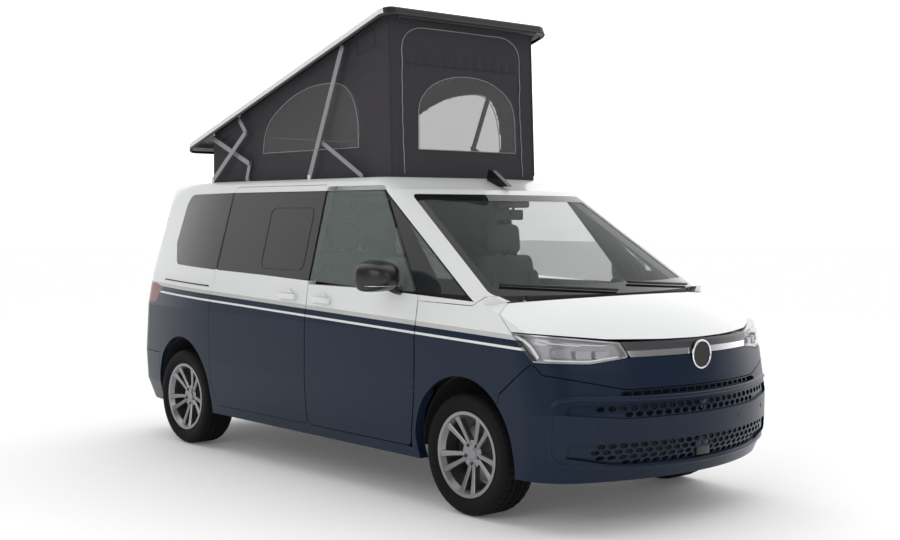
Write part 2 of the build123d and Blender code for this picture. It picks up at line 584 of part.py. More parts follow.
tyre_face = make_face([Line((244, -104, 0), (290, -119, 0)),
                       ThreePointArc((290, -119, 0), (318, -118, 0), (338, -104, 0)),
                       Line((338, -104, 0), (346, -86, 0)), Line((346, -86, 0), (346, 86, 0)),
                       Line((346, 86, 0), (338, 104, 0)),
                       ThreePointArc((338, 104, 0), (318, 118, 0), (290, 119, 0)),
                       Line((290, 119, 0), (244, 104, 0)), Line((244, 104, 0), (244, 88, 0)),
                       Line((244, 88, 0), (290, 104, 0)), Line((290, 104, 0), (330, 80, 0)),
                       Line((330, 80, 0), (330, -80, 0)), Line((330, -80, 0), (290, -104, 0)),
                       Line((290, -104, 0), (244, -88, 0)), Line((244, -88, 0), (244, -104, 0))])
tyre = revolve(tyre_face, Axis.Y, 360)

# Raised roof: lid tray, folded flat first and then swung up
lid = fillet(block(LID_REAR, LID_FRONT, -LID_HALF, LID_HALF, LID_AXIS_Z, LID_AXIS_Z + LID_HIGH).edges().filter_by(Axis.Z), 90)
lid = fillet(lid.faces().sort_by(Axis.Z)[-1].edges(), 18)
hollow = block(LID_REAR + LID_RIM, LID_FRONT - 40, -LID_HALF + LID_RIM, LID_HALF - LID_RIM, LID_AXIS_Z - 1,
               LID_AXIS_Z + LID_CAVITY)
lid = lid - fillet(hollow.edges().filter_by(Axis.Z), 80)
LID_AXIS = Axis((LID_AXIS_X, 0, LID_AXIS_Z), (0, 1, 0))


def flat_pin(pin):
    # A lid pin's place when the lid lies flat
    x, z = pin[0] - LID_AXIS_X, pin[1] - LID_AXIS_Z
    t = radians(LID_TILT)
    return (LID_AXIS_X + x * cos(t) + z * sin(t), LID_AXIS_Z - x * sin(t) + z * cos(t))


def bar(start, end, y, width, holes):
    # Flat bar in a side plane, from y inwards to y - BAR_T, with round ends and pin holes
    dx, dz = end[0] - start[0], end[1] - start[1]
    length = hypot(dx, dz)
    flat = SlotCenterToCenter(length, width)
    plane = Plane(((start[0] + end[0]) / 2, y, (start[1] + end[1]) / 2), x_dir=(dx, 0, dz), z_dir=(0, -1, 0))
    solid = extrude(plane * flat, amount=-BAR_T)
    for x, z in holes:
        solid = solid - across(x, z, y - 20, y + 20, PIN_R + PIN_PLAY)
    return solid


for pin, plane in ((LID_PIN_A, PLANE_A2), (LID_PIN_B, PLANE_B)):
    x, z = flat_pin(pin)
    for hand in (-1, 1):
        lo, hi = sorted((hand * (plane - 5), hand * (plane - 1)))
        lo2, hi2 = sorted((hand * (plane - 5), hand * (plane + BAR_T)))
        lid = lid + block(x - 12, x + 12, lo, hi, z - 9, LID_AXIS_Z + LID_CAVITY + 1) + across(x, z, lo2, hi2, PIN_R)
lid = lid.rotate(LID_AXIS, -LID_TILT)

# Roof brackets carry the lower pins
for pin, plane, inner_side in ((ARM_FOOT, PLANE_A, False), (BAR_A_BASE, PLANE_A, False), (BAR_B_BASE, PLANE_B2, True)):
    x, z = pin
    for hand in (-1, 1):
        if inner_side:
            plate, pin_y = (plane - 5, plane - 1), (plane - 5, plane + BAR_T)
        else:
            plate, pin_y = (plane + BAR_T + 1, plane + BAR_T + 5), (plane, plane + BAR_T + 5)
        roof = roof + block(x - 16, x + 16, hand * plate[0], hand * plate[1], 1905, z + 9)
        roof = roof + across(x, z, hand * pin_y[0], hand * pin_y[1], PIN_R)
arm_angle = atan2(ARM_TOP[1] - ARM_FOOT[1], ARM_TOP[0] - ARM_FOOT[0])
LINK_PIN = (ARM_FOOT[0] + LINK_ON_ARM * cos(arm_angle), ARM_FOOT[1] + LINK_ON_ARM * sin(arm_angle))
arm = bar(ARM_FOOT, ARM_TOP, PLANE_A, 30, [ARM_FOOT]) + across(*LINK_PIN, PLANE_A2 - 1, PLANE_A, PIN_R)
arm = arm + across(*ARM_TOP, PLANE_A - 10, PLANE_A, 10)
link = bar(LINK_PIN, LINK_END, PLANE_A2, 22, [LINK_PIN])
bar_a = bar(BAR_A_BASE, BAR_A_TOP, PLANE_A, 28, [BAR_A_BASE])
link_a = bar(LID_PIN_A, BAR_A_TOP, PLANE_A2, 28, [LID_PIN_A])
link_a = link_a + across(*BAR_A_TOP, PLANE_A2 + BAR_T, PLANE_A - 0.5, 7)
bar_b = bar(LID_PIN_B, BAR_B_LOW, PLANE_B, 28, [LID_PIN_B])
link_b = bar(BAR_B_BASE, BAR_B_LOW, PLANE_B2, 28, [BAR_B_BASE])
link_b = link_b + across(*BAR_B_LOW, PLANE_B2 + BAR_T, PLANE_B - 0.5, 7)

# Tent between roof and lid: a hollow wedge of cloth with its window openings
t = radians(LID_TILT)


def lid_under(x, up):
    return LID_AXIS_Z + (x - LID_AXIS_X) * tan(t) + up / cos(t)


TENT_FRONT, TENT_REAR, TENT_HALF, CLOTH = -1045, -3195, 628, 8
tent_out = [(TENT_FRONT, ROOF_TOP + 0.4, 0), (TENT_FRONT - 45, lid_under(TENT_FRONT - 45, LID_CAVITY - 1), 0),
            (TENT_REAR, lid_under(TENT_REAR, LID_CAVITY - 1), 0), (TENT_REAR, ROOF_TOP + 0.4, 0)]
tent_in = [(TENT_FRONT - CLOTH, ROOF_TOP - 10, 0), (TENT_FRONT - 45 - CLOTH, lid_under(TENT_FRONT - 45, 80), 0),
           (TENT_REAR + CLOTH, lid_under(TENT_REAR, 80), 0), (TENT_REAR + CLOTH, ROOF_TOP - 10, 0)]
tent = side_prism(tent_out, -TENT_HALF, TENT_HALF) - side_prism(tent_in, -TENT_HALF + CLOTH, TENT_HALF - CLOTH)
SIDE_WINDOW = [(-2520, 2125, 25), (-1375, 2125, 40), (-1400, 2450, 100), (-1680, 2570, 120), (-2200, 2400, 120)]
tent = tent - side_prism(SIDE_WINDOW, -900, 900)
FRONT_WINDOW = [(-390, 2110, 30), (470, 2110, 30), (450, 2600, 230), (-370, 2600, 230)]
tent = tent - front_prism(FRONT_WINDOW, -1200, -1000)

# Cabin
DASH = [(329.5, 790, 0), (329.5, 1000, 0), (230, 1100, 10), (170, 1180, 20), (-60, 1120, 30), (-120, 1000, 40), (-40, 850, 40), (200, 760, 20)]
dash = side_prism(DASH, -850, 850)
WHEEL_AT = (-330, 390, 1030)
steer_plane = Plane(WHEEL_AT, z_dir=(-0.85, 0, 0.53))
steering = steer_plane * Torus(180, 15)
steering = steering + steer_plane * Pos(0, 0, -20) * Cylinder(52, 50) + steer_plane * Box(24, 350, 16)
steering = steering + rod((-320, 390, 1020), (-60, 390, 862 + 0), 26)
steering = biggest(steering - dash)
SEAT = [(-1010, 600, 40), (-470, 640, 50), (-460, 770, 60), (-890, 740, 40), (-1040, 1400, 40), (-1160, 1390, 50)]
seat = side_prism(SEAT, -250, 250)
seat = fillet(seat.edges().filter_by(Axis.Y, reverse=True), 30)
head = fillet(block(-1150, -1060, -140, 140, 1420, 1630).edges(), 35)
seat = seat + head + block(-1115, -1090, -60, -45, 1350, 1450) + block(-1115, -1090, 45, 60, 1350, 1450)
seat = seat + block(-960, -560, -190, 190, FLOOR_TOP + 0.3, 640)
front_seats = [Pos(0, y, 0) * seat for y in (390, -390)]
rear_seats = [Pos(-1450, y, 0) * seat for y in (100, -460)]
kitchen = block(-3330, -1650, 560, 870, FLOOR_TOP + 0.3, 1230)
kitchen = kitchen & lower_form(WALL + 3, 200, 1300)
kitchen = kitchen - across(-WHEELBASE, ARCH_Z, 300, 1000, ARCH_R + 3)
antenna = side_prism([(-620, 1870, 0), (-822, 1870, 0), (-822, 1940, 4), (-806, 1982, 8), (-775, 1978, 16)], -18, 18)
antenna = Pos(0, 0, 0) * biggest(antenna - TOP)

nodes["front_door_left"] = front_door
nodes["front_door_right"] = right_of(front_door)
nodes["front_door_glass_left"] = front_glass
nodes["front_door_glass_right"] = right_of(front_glass)
nodes["mirror_left"] = mirror_left
nodes["mirror_right"] = right_of(mirror_left)
nodes["side_frame_left"] = side
nodes["side_frame_right"] = right_of(side)
nodes["sliding_door_left"] = slide_door
nodes["sliding_door_right"] = right_of(slide_door)
nodes["sliding_door_glass"] = Compound(both(slide_glass))
nodes["fixed_side_glass"] = Compound([*both(rear_glass), *both(tri_glass)])
nodes["roof_panel"] = roof
nodes["windscreen"] = windscreen
nodes["cowl_panel"] = cowl
nodes["bonnet"] = bonnet
nodes["front_fenders"] = Compound(both(fender))
nodes["headlamps"] = Compound(both(lamp))
nodes["headlamp_units"] = Compound(both(lamp_unit))
nodes["light_bar"] = light_bar
nodes["nose_panel"] = nose_panel
nodes["badge_disc"] = badge
nodes["front_bumper"] = front_bumper
nodes["bumper_grilles"] = Compound(grilles)
nodes["rear_bumper"] = rear_bumper
nodes["tailgate"] = tailgate
nodes["tailgate_glass"] = tail_glass
nodes["tail_lamps"] = Compound(both(tail_lamp))
nodes["floor_pan"] = floor
nodes["wheel_arch_liners"] = Compound(liners)
nodes["front_subframe"] = subframe
nodes["engine_block"] = engine
nodes["fuel_tank"] = tank
nodes["rear_axle"] = axle
nodes["knuckle_left"] = knuckle
nodes["knuckle_right"] = right_of(knuckle)
for name, x, hand in (("front_left", 0, 1), ("front_right", 0, -1), ("rear_left", -WHEELBASE, 1),
                      ("rear_right", -WHEELBASE, -1)):
    rim_here = wheel if hand > 0 else right_of(wheel)
    nodes[f"wheel_{name}"] = Pos(x, hand * WHEEL_Y, AXLE_Z) * rim_here
    nodes[f"tyre_{name}"] = Pos(x, hand * WHEEL_Y, AXLE_Z) * tyre
nodes["roof_lid"] = lid
nodes["roof_tent"] = tent
nodes["roof_arms"] = Compound(both(arm))
nodes["roof_links"] = Compound(both(link))
nodes["scissor_bars_a"] = Compound(both(bar_a))
nodes["scissor_links_a"] = Compound(both(link_a))
nodes["scissor_bars_b"] = Compound(both(bar_b))
nodes["scissor_links_b"] = Compound(both(link_b))
nodes["dashboard"] = dash
nodes["steering_wheel"] = steering
nodes["front_seats"] = Compound(front_seats)
nodes["rear_seats"] = Compound(rear_seats)
nodes["kitchen_unit"] = kitchen
nodes["roof_antenna"] = antenna

for name, shape in nodes.items():
    solids = shape.solids()
    print(name, len(solids), [round(s.volume / 1e6, 2) for s in solids], all(s.is_valid for s in solids))
    export_step(Compound(solids).move(Location((FRONT_AXLE_X, 0, 0))), f"parts/{name}.step")
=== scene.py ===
# %% [markdown]
# # A camper van with its roof up
# The solid parts of the van come ready made. Here they get paint, glass, cloth, tyres and trim.
# Lengths are in metres. +X is the way the van drives, +Y is its left side and +Z is up.

# %% Load the solid parts
import bpy
import bmesh
import json
from math import cos, exp, hypot, pi, radians, sin, tan
from mathutils import Matrix, Vector, noise

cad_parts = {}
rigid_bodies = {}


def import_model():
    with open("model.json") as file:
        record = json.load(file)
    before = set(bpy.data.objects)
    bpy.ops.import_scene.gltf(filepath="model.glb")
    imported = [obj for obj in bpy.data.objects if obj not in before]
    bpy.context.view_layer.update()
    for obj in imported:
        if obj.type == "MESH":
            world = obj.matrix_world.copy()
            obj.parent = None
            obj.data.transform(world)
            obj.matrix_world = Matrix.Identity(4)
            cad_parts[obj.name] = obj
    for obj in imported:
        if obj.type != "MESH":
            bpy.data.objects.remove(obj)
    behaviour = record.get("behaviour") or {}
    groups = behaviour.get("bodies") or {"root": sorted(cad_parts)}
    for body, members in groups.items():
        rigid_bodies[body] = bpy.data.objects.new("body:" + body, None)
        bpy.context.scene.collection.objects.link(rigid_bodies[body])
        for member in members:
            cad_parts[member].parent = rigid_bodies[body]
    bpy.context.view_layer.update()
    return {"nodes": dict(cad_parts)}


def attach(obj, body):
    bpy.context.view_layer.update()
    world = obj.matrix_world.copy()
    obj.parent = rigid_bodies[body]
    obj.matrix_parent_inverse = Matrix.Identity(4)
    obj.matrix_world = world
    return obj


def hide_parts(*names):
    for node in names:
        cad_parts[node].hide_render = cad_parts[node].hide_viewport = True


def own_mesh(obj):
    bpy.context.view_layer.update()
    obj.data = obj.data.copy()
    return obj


for thing in list(bpy.data.objects):
    bpy.data.objects.remove(thing)
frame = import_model()
node = frame["nodes"]

# %% [markdown]
# The front axle is the place we measure from along the van, because the wheels are easy to find in a photo.
# The raised lid turns about a line behind the roof. Knowing that line lets us lay trim along the lid.

# %% Places that are used again
AXLE, REAR_AXLE = 1.5315, -1.5925
WHEEL_SIDE, WHEEL_HIGH = 0.815, 0.346
WHEELS = {"front_left": (AXLE, 1), "front_right": (AXLE, -1),
          "rear_left": (REAR_AXLE, 1), "rear_right": (REAR_AXLE, -1)}
HANDS = ((1, "left"), (-1, "right"))
TENT_FRONT, TENT_REAR, TENT_SIDE, TENT_LOW = 0.4865, -1.6635, 0.628, 1.9254
LID_FRONT, LID_REAR, LID_LOW = 0.6945, -1.8885, 1.955
LID_TURN = Vector((-2.5581, 0, LID_LOW))
LID_TILT = radians(17.66)
LID_TURNED = (Matrix.Translation(LID_TURN) @ Matrix.Rotation(-LID_TILT, 4, "Y")
              @ Matrix.Translation(-LID_TURN))
lid_edge = LID_TURNED @ Vector((LID_FRONT, 0, LID_LOW))
print("the lid's front edge stands at", [round(v, 3) for v in lid_edge])

# %% [markdown]
# A material is a small network of nodes. Most pieces need only a colour, a roughness and a metal value,
# so one short function sets those and returns the network for pieces that need more.

# %% Plain materials
def finish(name, colour, rough, metal=0.0, coat=0.0, alpha=1.0, shine=0.5):
    mat = bpy.data.materials.get(name) or bpy.data.materials.new(name)
    mat.use_nodes = True
    tree = mat.node_tree
    tree.nodes.clear()
    out = tree.nodes.new("ShaderNodeOutputMaterial")
    skin = tree.nodes.new("ShaderNodeBsdfPrincipled")
    tree.links.new(skin.outputs["BSDF"], out.inputs["Surface"])
    skin.inputs["Base Color"].default_value = (*colour, 1)
    skin.inputs["Roughness"].default_value = rough
    skin.inputs["Metallic"].default_value = metal
    skin.inputs["Coat Weight"].default_value = coat
    skin.inputs["Coat Roughness"].default_value = 0.04
    skin.inputs["Alpha"].default_value = alpha
    skin.inputs["Specular IOR Level"].default_value = shine
    return mat, tree, skin


WHITE, NAVY = (0.72, 0.73, 0.73), (0.0100, 0.0180, 0.0365)
GREY, BLACK = (0.50, 0.50, 0.49), (0.010, 0.010, 0.011)
CLEAR_TINT, DARK_TINT = (0.210, 0.250, 0.238), (0.02, 0.021, 0.023)
PLAIN = [  # name, colour, roughness, metal, coat, alpha, shine
    ("white_paint", WHITE, 0.35, 0.0, 0.5, 1.0),
    ("black_trim", (0.014, 0.014, 0.015), 0.55, 0.0, 0.0, 1.0),
    ("gloss_black", BLACK, 0.25, 0.0, 0.1, 1.0, 0.25),
    ("clear_glass", CLEAR_TINT, 0.03, 0.0, 0.0, 0.28),
    ("dark_glass", DARK_TINT, 0.04, 0.0, 0.0, 0.9),
    ("lamp_clear", (0.30, 0.30, 0.31), 0.02, 0.0, 0.2, 0.10),
    ("lamp_inner", (0.42, 0.42, 0.44), 0.28, 0.5, 0.0, 1.0),
    ("lamp_red", (0.15, 0.008, 0.012), 0.25, 0.0, 0.0, 1.0, 0.3),
    ("chrome_trim", (0.82, 0.83, 0.85), 0.12, 1.0, 0.0, 1.0),
    ("alloy", (0.27, 0.273, 0.28), 0.30, 0.9, 0.0, 1.0),
    ("alloy_bar", (0.30, 0.30, 0.31), 0.40, 0.7, 0.0, 1.0),
    ("tyre_rubber", (0.0055, 0.0055, 0.006), 0.75, 0.0, 0.0, 1.0, 0.15),
    ("seat_cloth", (0.17, 0.175, 0.18), 0.85, 0.0, 0.0, 1.0),
    ("underbody", (0.03, 0.03, 0.032), 0.6, 0.2, 0.0, 1.0),
    ("cabin_plastic", (0.035, 0.035, 0.04), 0.6, 0.0, 0.0, 1.0),
    ("cabinet", (0.34, 0.32, 0.29), 0.5, 0.0, 0.0, 1.0),
    ("mirror_black", (0.012, 0.012, 0.013), 0.32, 0.0, 0.1, 1.0, 0.4),
    ("piping", (0.26, 0.26, 0.27), 0.7, 0.0, 0.0, 1.0),
    ("light_lens", (0.9, 0.92, 0.95), 0.08, 0.0, 0.5, 1.0),
]
for row in PLAIN:
    finish(*row)
print("plain materials:", len(PLAIN))

# %% [markdown]
# The body has two colours and stripes that run along the waist, a little higher at the back.
# Each step asks: how far is this point above the stripe line? The answer picks the colour.
# The same idea makes the black band round the side windows.

# %% Colour by height
def maths(tree, kind, a, b):
    n = tree.nodes.new("ShaderNodeMath")
    n.operation = kind
    for plug, value in zip(n.inputs, (a, b)):
        if isinstance(value, (int, float)):
            plug.default_value = value
        else:
            tree.links.new(value, plug)
    return n.outputs[0]


def mixed(tree, share, low, high):
    n = tree.nodes.new("ShaderNodeMix")
    n.data_type = "RGBA"
    tree.links.new(share, n.inputs["Factor"])
    for plug, value in ((n.inputs["A"], low), (n.inputs["B"], high)):
        if isinstance(value, tuple):
            plug.default_value = (*value, 1)
        else:
            tree.links.new(value, plug)
    return n.outputs["Result"]


def place(tree):
    coords = tree.nodes.new("ShaderNodeTexCoord")
    parts = tree.nodes.new("ShaderNodeSeparateXYZ")
    tree.links.new(coords.outputs["Object"], parts.inputs[0])
    return coords, parts.outputs[0], parts.outputs[1], parts.outputs[2]


def sloped(tree, x, at_x, height, slope):
    return maths(tree, "ADD", maths(tree, "MULTIPLY", maths(tree, "SUBTRACT", x, at_x), slope), height)


# a line on the van's side: a place along the van, the height there, and the slope
STRIPE_LINE, BELT_LINE = (0.0255, 1.083, -0.0310), (0.0205, 1.262, -0.0337)
PILLAR_LINE = (0.6735, 1.815, -0.645)
STRIPES = ((-0.050, WHITE), (-0.036, NAVY), (0.0, GREY), (0.026, WHITE))
BAND_REAR, BAND_TOP = -1.16, 1.8425
mat, tree, skin = finish("navy_paint", NAVY, 0.26, 0.0, 0.06, 1.0, 0.12)
coords, x, y, z = place(tree)
above = maths(tree, "SUBTRACT", z, sloped(tree, x, *STRIPE_LINE))
colour = NAVY
for limit, tint in STRIPES:
    colour = mixed(tree, maths(tree, "GREATER_THAN", above, limit), colour, tint)
belt = maths(tree, "GREATER_THAN", z, sloped(tree, x, *BELT_LINE))
pillar = maths(tree, "LESS_THAN", z, sloped(tree, x, *PILLAR_LINE))
rear, top = maths(tree, "GREATER_THAN", x, BAND_REAR), maths(tree, "LESS_THAN", z, BAND_TOP)
band = maths(tree, "MULTIPLY", maths(tree, "MULTIPLY", belt, pillar), maths(tree, "MULTIPLY", rear, top))
tree.links.new(mixed(tree, band, colour, BLACK), skin.inputs["Base Color"])
print("body paint has", len(tree.nodes), "nodes")

# %% [markdown]
# The lid is white on top, with a dark edge, and its underside is painted dark as painted shade. Its own
# tilted height tells which is which, and the way a face points finds the underside.
# The light bar is dark above and bright below.

# %% Lid and light bar
# one dark colour serves the lid's dark edge and nose, and the painted shade on its underside
LID_TRIM_AND_SHADE, LID_RIM, LID_NOSE, PAINTED_SHADE_FACING = (0.02, 0.02, 0.022), 0.014, 0.038, -0.3
mat, tree, skin = finish("lid_paint", WHITE, 0.35, 0.0, 0.1, 1.0, 0.3)
coords, x, y, z = place(tree)
up = Vector((-sin(LID_TILT), 0, cos(LID_TILT)))
height = maths(tree, "ADD", maths(tree, "MULTIPLY", x, up.x), maths(tree, "MULTIPLY", z, up.z))
edge = maths(tree, "LESS_THAN", height, LID_TURN.dot(up) + LID_RIM)
facing = tree.nodes.new("ShaderNodeVectorMath")
facing.operation = "DOT_PRODUCT"
tree.links.new(coords.outputs["Normal"], facing.inputs[0])
facing.inputs[1].default_value = up
# painted shade: faces that point down, away from the lid's top, are painted dark
under = maths(tree, "LESS_THAN", facing.outputs["Value"], PAINTED_SHADE_FACING)
along = maths(tree, "ADD", maths(tree, "MULTIPLY", x, up.z), maths(tree, "MULTIPLY", z, -up.x))
nose_at = LID_FRONT - LID_TURN.x - LID_NOSE + LID_TURN.x * up.z - LID_TURN.z * up.x
front = maths(tree, "GREATER_THAN", along, nose_at)
# the dark mask joins the trim of the edge and nose with the painted shade underneath
dark = maths(tree, "MAXIMUM", maths(tree, "MAXIMUM", edge, under), front)
tree.links.new(mixed(tree, dark, WHITE, LID_TRIM_AND_SHADE), skin.inputs["Base Color"])
node["roof_lid"].data.materials[0] = mat

BAR_BRIGHT, BAR_DARK, BAR_SPLIT = (0.8, 0.81, 0.83), (0.06, 0.06, 0.065), 0.966
mat, tree, skin = finish("bar_chrome", BAR_BRIGHT, 0.15)
coords, x, y, z = place(tree)
upper = maths(tree, "GREATER_THAN", z, BAR_SPLIT)
tree.links.new(mixed(tree, upper, BAR_BRIGHT, BAR_DARK), skin.inputs["Base Color"])
tree.links.new(maths(tree, "SUBTRACT", 1.0, upper), skin.inputs["Metallic"])
node["light_bar"].data.materials[0] = mat
print("lid and light bar painted")

# %% [markdown]
# The windscreen has a black printed edge. Close to the edge the glass turns black and lets no light through.

# %% Windscreen edge
SCREEN_TINT, SCREEN_ALPHA = (0.050, 0.075, 0.066), 0.20
PRINT_SIDE = (1.24, 0.830, -0.2574)  # a height, half the clear width there, and its slope
PRINT_LOW, PRINT_HIGH = 1.295, 1.775
mat, tree, skin = finish("screen_glass", SCREEN_TINT, 0.03, shine=0.22)
coords, x, y, z = place(tree)
sides = maths(tree, "GREATER_THAN", maths(tree, "ABSOLUTE", y, 0.0), sloped(tree, z, *PRINT_SIDE))
low, high = maths(tree, "LESS_THAN", z, PRINT_LOW), maths(tree, "GREATER_THAN", z, PRINT_HIGH)
printed = maths(tree, "MAXIMUM", sides, maths(tree, "MAXIMUM", low, high))
tree.links.new(mixed(tree, printed, SCREEN_TINT, BLACK), skin.inputs["Base Color"])
tree.links.new(maths(tree, "MAXIMUM", printed, SCREEN_ALPHA), skin.inputs["Alpha"])
node["windscreen"].data.materials[0] = mat
print("windscreen has", len(tree.nodes), "nodes")

# %% [markdown]
# The fixed side panes are nearly black, apart from the small clear triangle in front of each front door.
# Three straight lines bound that triangle, and a point inside all three gets the clear glass.

# %% Fixed side panes
TRIANGLE_LOW, TRIANGLE_TOP, TRIANGLE_FOOT = (1.0, 1.568, -0.912), (0.93, 1.645, -0.648), 1.325
PANE_ALPHA, CLEARER_BY = 0.92, 0.58
mat, tree, skin = finish("fixed_glass", DARK_TINT, 0.04)
coords, x, y, z = place(tree)
over = maths(tree, "GREATER_THAN", z, sloped(tree, x, *TRIANGLE_LOW))
under = maths(tree, "LESS_THAN", z, sloped(tree, x, *TRIANGLE_TOP))
foot = maths(tree, "GREATER_THAN", z, TRIANGLE_FOOT)
clear = maths(tree, "MULTIPLY", maths(tree, "MULTIPLY", over, under), foot)
tree.links.new(mixed(tree, clear, DARK_TINT, CLEAR_TINT), skin.inputs["Base Color"])
alpha = maths(tree, "SUBTRACT", PANE_ALPHA, maths(tree, "MULTIPLY", clear, CLEARER_BY))
tree.links.new(alpha, skin.inputs["Alpha"])
node["fixed_side_glass"].data.materials[0] = mat
print("side panes have", len(tree.nodes), "nodes")

# %% [markdown]
# Every new piece is a mesh made from points and faces, with a material and a body to ride on.
# Many pieces are rings of points one after the other: bands of faces join the rings, and two ends close them.
# A tube follows a list of points. A soft box has its edges rounded.

# %% Ways to make a piece
def piece(name, points, faces, mat, body, smooth=True):
    mesh = bpy.data.meshes.new(name)
    mesh.from_pydata([tuple(p) for p in points], [], faces)
    mesh.validate()
    obj = bpy.data.objects.new(name, mesh)
    bpy.context.scene.collection.objects.link(obj)
    mesh.materials.append(bpy.data.materials[mat])
    if smooth:
        mesh.polygons.foreach_set("use_smooth", [True] * len(mesh.polygons))
    if body:
        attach(obj, body)
    return obj


def turns(count):
    return [2 * pi * k / count for k in range(count)]


def bands(rings, sides, first=0, closed=False):
    faces = []
    for i in range(rings if closed else rings - 1):
        a, b = first + i * sides, first + (i + 1) % rings * sides
        faces += [(a + k, a + (k + 1) % sides, b + (k + 1) % sides, b + k) for k in range(sides)]
    return faces


def two_ends(rings, sides, first=0):
    last = first + (rings - 1) * sides
    return [tuple(range(first, first + sides))[::-1], tuple(range(last, last + sides))]


def tube(name, path, radius, mat, body, closed=False, sides=8):
    path = [Vector(p) for p in path if p]  # a ray that missed leaves None, and is skipped
    count = len(path)
    points = []
    side = None
    for i, p in enumerate(path):
        ahead = path[(i + 1) % count] if closed or i < count - 1 else p
        behind = path[i - 1] if closed or i else p
        along = (ahead - behind).normalized()
        if side is None:
            side = along.orthogonal().normalized()
        side = (side - along * side.dot(along)).normalized()
        across = along.cross(side)
        points += [p + radius * (cos(turn) * side + sin(turn) * across) for turn in turns(sides)]
    faces = bands(count, sides, closed=closed)
    if not closed:
        faces += two_ends(count, sides)
    return piece(name, points, faces, mat, body)


def soft_box(name, size, where, round_by, mat, body, steps=4, turn=0.0):
    form = bmesh.new()
    bmesh.ops.create_cube(form, size=1)
    bmesh.ops.scale(form, vec=Vector(size), verts=form.verts)
    bmesh.ops.bevel(form, geom=form.edges[:], offset=round_by, segments=steps, profile=0.5, affect="EDGES")
    spin = Matrix.Translation(Vector(where)) @ Matrix.Rotation(turn, 4, "Y")
    bmesh.ops.transform(form, matrix=spin, verts=form.verts)
    points = [v.co.copy() for v in form.verts]
    faces = [[v.index for v in f.verts] for f in form.faces]
    form.free()
    return piece(name, points, faces, mat, body)


print("ways to make a piece: tube and soft box")

# %% [markdown]
# Trim has to lie on skins that are curved. A ray is sent at the skin, and where it lands is the spot.
# Flat outlines come in two kinds: a plate with round corners, and any outline cut into short steps.

# %% Spots on a skin and flat outlines
def touch(obj, start, way, lift=0.0):
    found, spot, out, _ = obj.ray_cast(Vector(start), Vector(way))
    return (spot + out * lift) if found else None


def on_side(solid, x, z, hand, lift=0.0):
    return touch(node[solid], (x, hand * 2, z), (0, -hand, 0), lift)


def on_front(solid, y, z, lift=0.0):
    return touch(node[solid], (4, y, z), (-1, 0, 0), lift)


def rounded(a_high, a_low, b_high, b_low, radius, steps):
    # the four limits are those of the centres of the round corners
    corners = ((a_high, b_high, 0), (a_low, b_high, 90), (a_low, b_low, 180), (a_high, b_low, 270))
    return [(a + radius * cos(turn), b + radius * sin(turn)) for a, b, start in corners
            for turn in [radians(start + k * 90 / steps) for k in range(steps + 1)]]


def dense(shape, step=0.02, closed=True):
    path = []
    for (a0, b0), (a1, b1) in zip(shape, shape[1:] + (shape[:1] if closed else [])):
        n = max(1, int(hypot(a1 - a0, b1 - b0) / step))
        path += [(a0 + (a1 - a0) * k / n, b0 + (b1 - b0) * k / n) for k in range(n)]
    return path if closed else path + [shape[-1]]


print("door skin at the handle:", on_side("front_door_right", AXLE - 1.336, 1.146, -1))

# %% [markdown]
# Tyres are turned like a pot on a wheel: one outline goes round the axle.
# The grooves are steps in that outline.
# Short cuts across the tread come from moving every fourth ring of points in.

# %% Tyres with tread
TREAD = [(-0.083, 0.3455), (-0.062, 0.346), (-0.060, 0.339), (-0.050, 0.339), (-0.048, 0.346),
         (-0.021, 0.346), (-0.019, 0.339), (-0.008, 0.339), (-0.006, 0.346)]
SIDE = [(-0.088, 0.2445), (-0.104, 0.2445), (-0.110, 0.258), (-0.1165, 0.280), (-0.1185, 0.298),
        (-0.117, 0.303), (-0.1175, 0.306), (-0.1155, 0.318), (-0.109, 0.331), (-0.098, 0.340)]
outline = SIDE + TREAD + [(-w, r) for w, r in TREAD[::-1]] + [(-w, r) for w, r in SIDE[::-1]]
AROUND, CUT_EVERY, CUT_DEEP, CUT_FROM, CUT_TO, CUT_ABOVE = 160, 4, 0.005, 0.024, 0.1, 0.338
for name, (axle_x, hand) in WHEELS.items():
    points, faces = [], []
    for i, turn in enumerate(turns(AROUND)):
        for w, r in outline:
            if i % CUT_EVERY == 0 and CUT_FROM < abs(w) < CUT_TO and r > CUT_ABOVE:
                r = r - CUT_DEEP
            points.append((axle_x + r * sin(turn), hand * WHEEL_SIDE + w, WHEEL_HIGH + r * cos(turn)))
    step = len(outline)
    for i in range(AROUND):
        a, b = i * step, (i + 1) % AROUND * step
        faces += [(a + k, b + k, b + k + 1, a + k + 1) for k in range(step - 1)]
        faces.append((a + step - 1, b + step - 1, b, a))
    tyre = piece("tread_" + name, points, faces, "tyre_rubber", name + "_wheel", smooth=False)
    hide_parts("tyre_" + name)
print("four tyres of", AROUND * len(outline), "faces")

# %% [markdown]
# Each wheel gets a plain centre cap and five bolts. They turn with the wheel, so they ride on its body.

# %% Wheel bolts and caps
def disc(name, centre, along, radius, thick, mat, body, sides=32):
    along = Vector(along).normalized()
    side = along.orthogonal().normalized()
    across = along.cross(side)
    points = []
    for d, r in ((-thick, radius), (thick * 0.5, radius), (thick, radius * 0.86)):
        points += [Vector(centre) + along * d + r * (cos(turn) * side + sin(turn) * across)
                   for turn in turns(sides)]
    return piece(name, points, bands(3, sides) + two_ends(3, sides), mat, body, smooth=False)


CAP_SIDE, BOLTS, BOLT_CIRCLE = 0.877, 5, 0.056
for name, (axle_x, hand) in WHEELS.items():
    face_y = hand * CAP_SIDE
    disc("cap_" + name, (axle_x, face_y, WHEEL_HIGH), (0, hand, 0), 0.034, 0.005, "alloy", name + "_wheel")
    for k in range(BOLTS):
        turn = 2 * pi * (k + 0.5) / BOLTS
        spot = (axle_x + BOLT_CIRCLE * sin(turn), face_y, WHEEL_HIGH + BOLT_CIRCLE * cos(turn))
        disc(f"bolt_{name}_{k}", spot, (0, hand, 0), 0.011, 0.006, "underbody", name + "_wheel", 12)
print("caps and bolts on", len(WHEELS), "wheels")

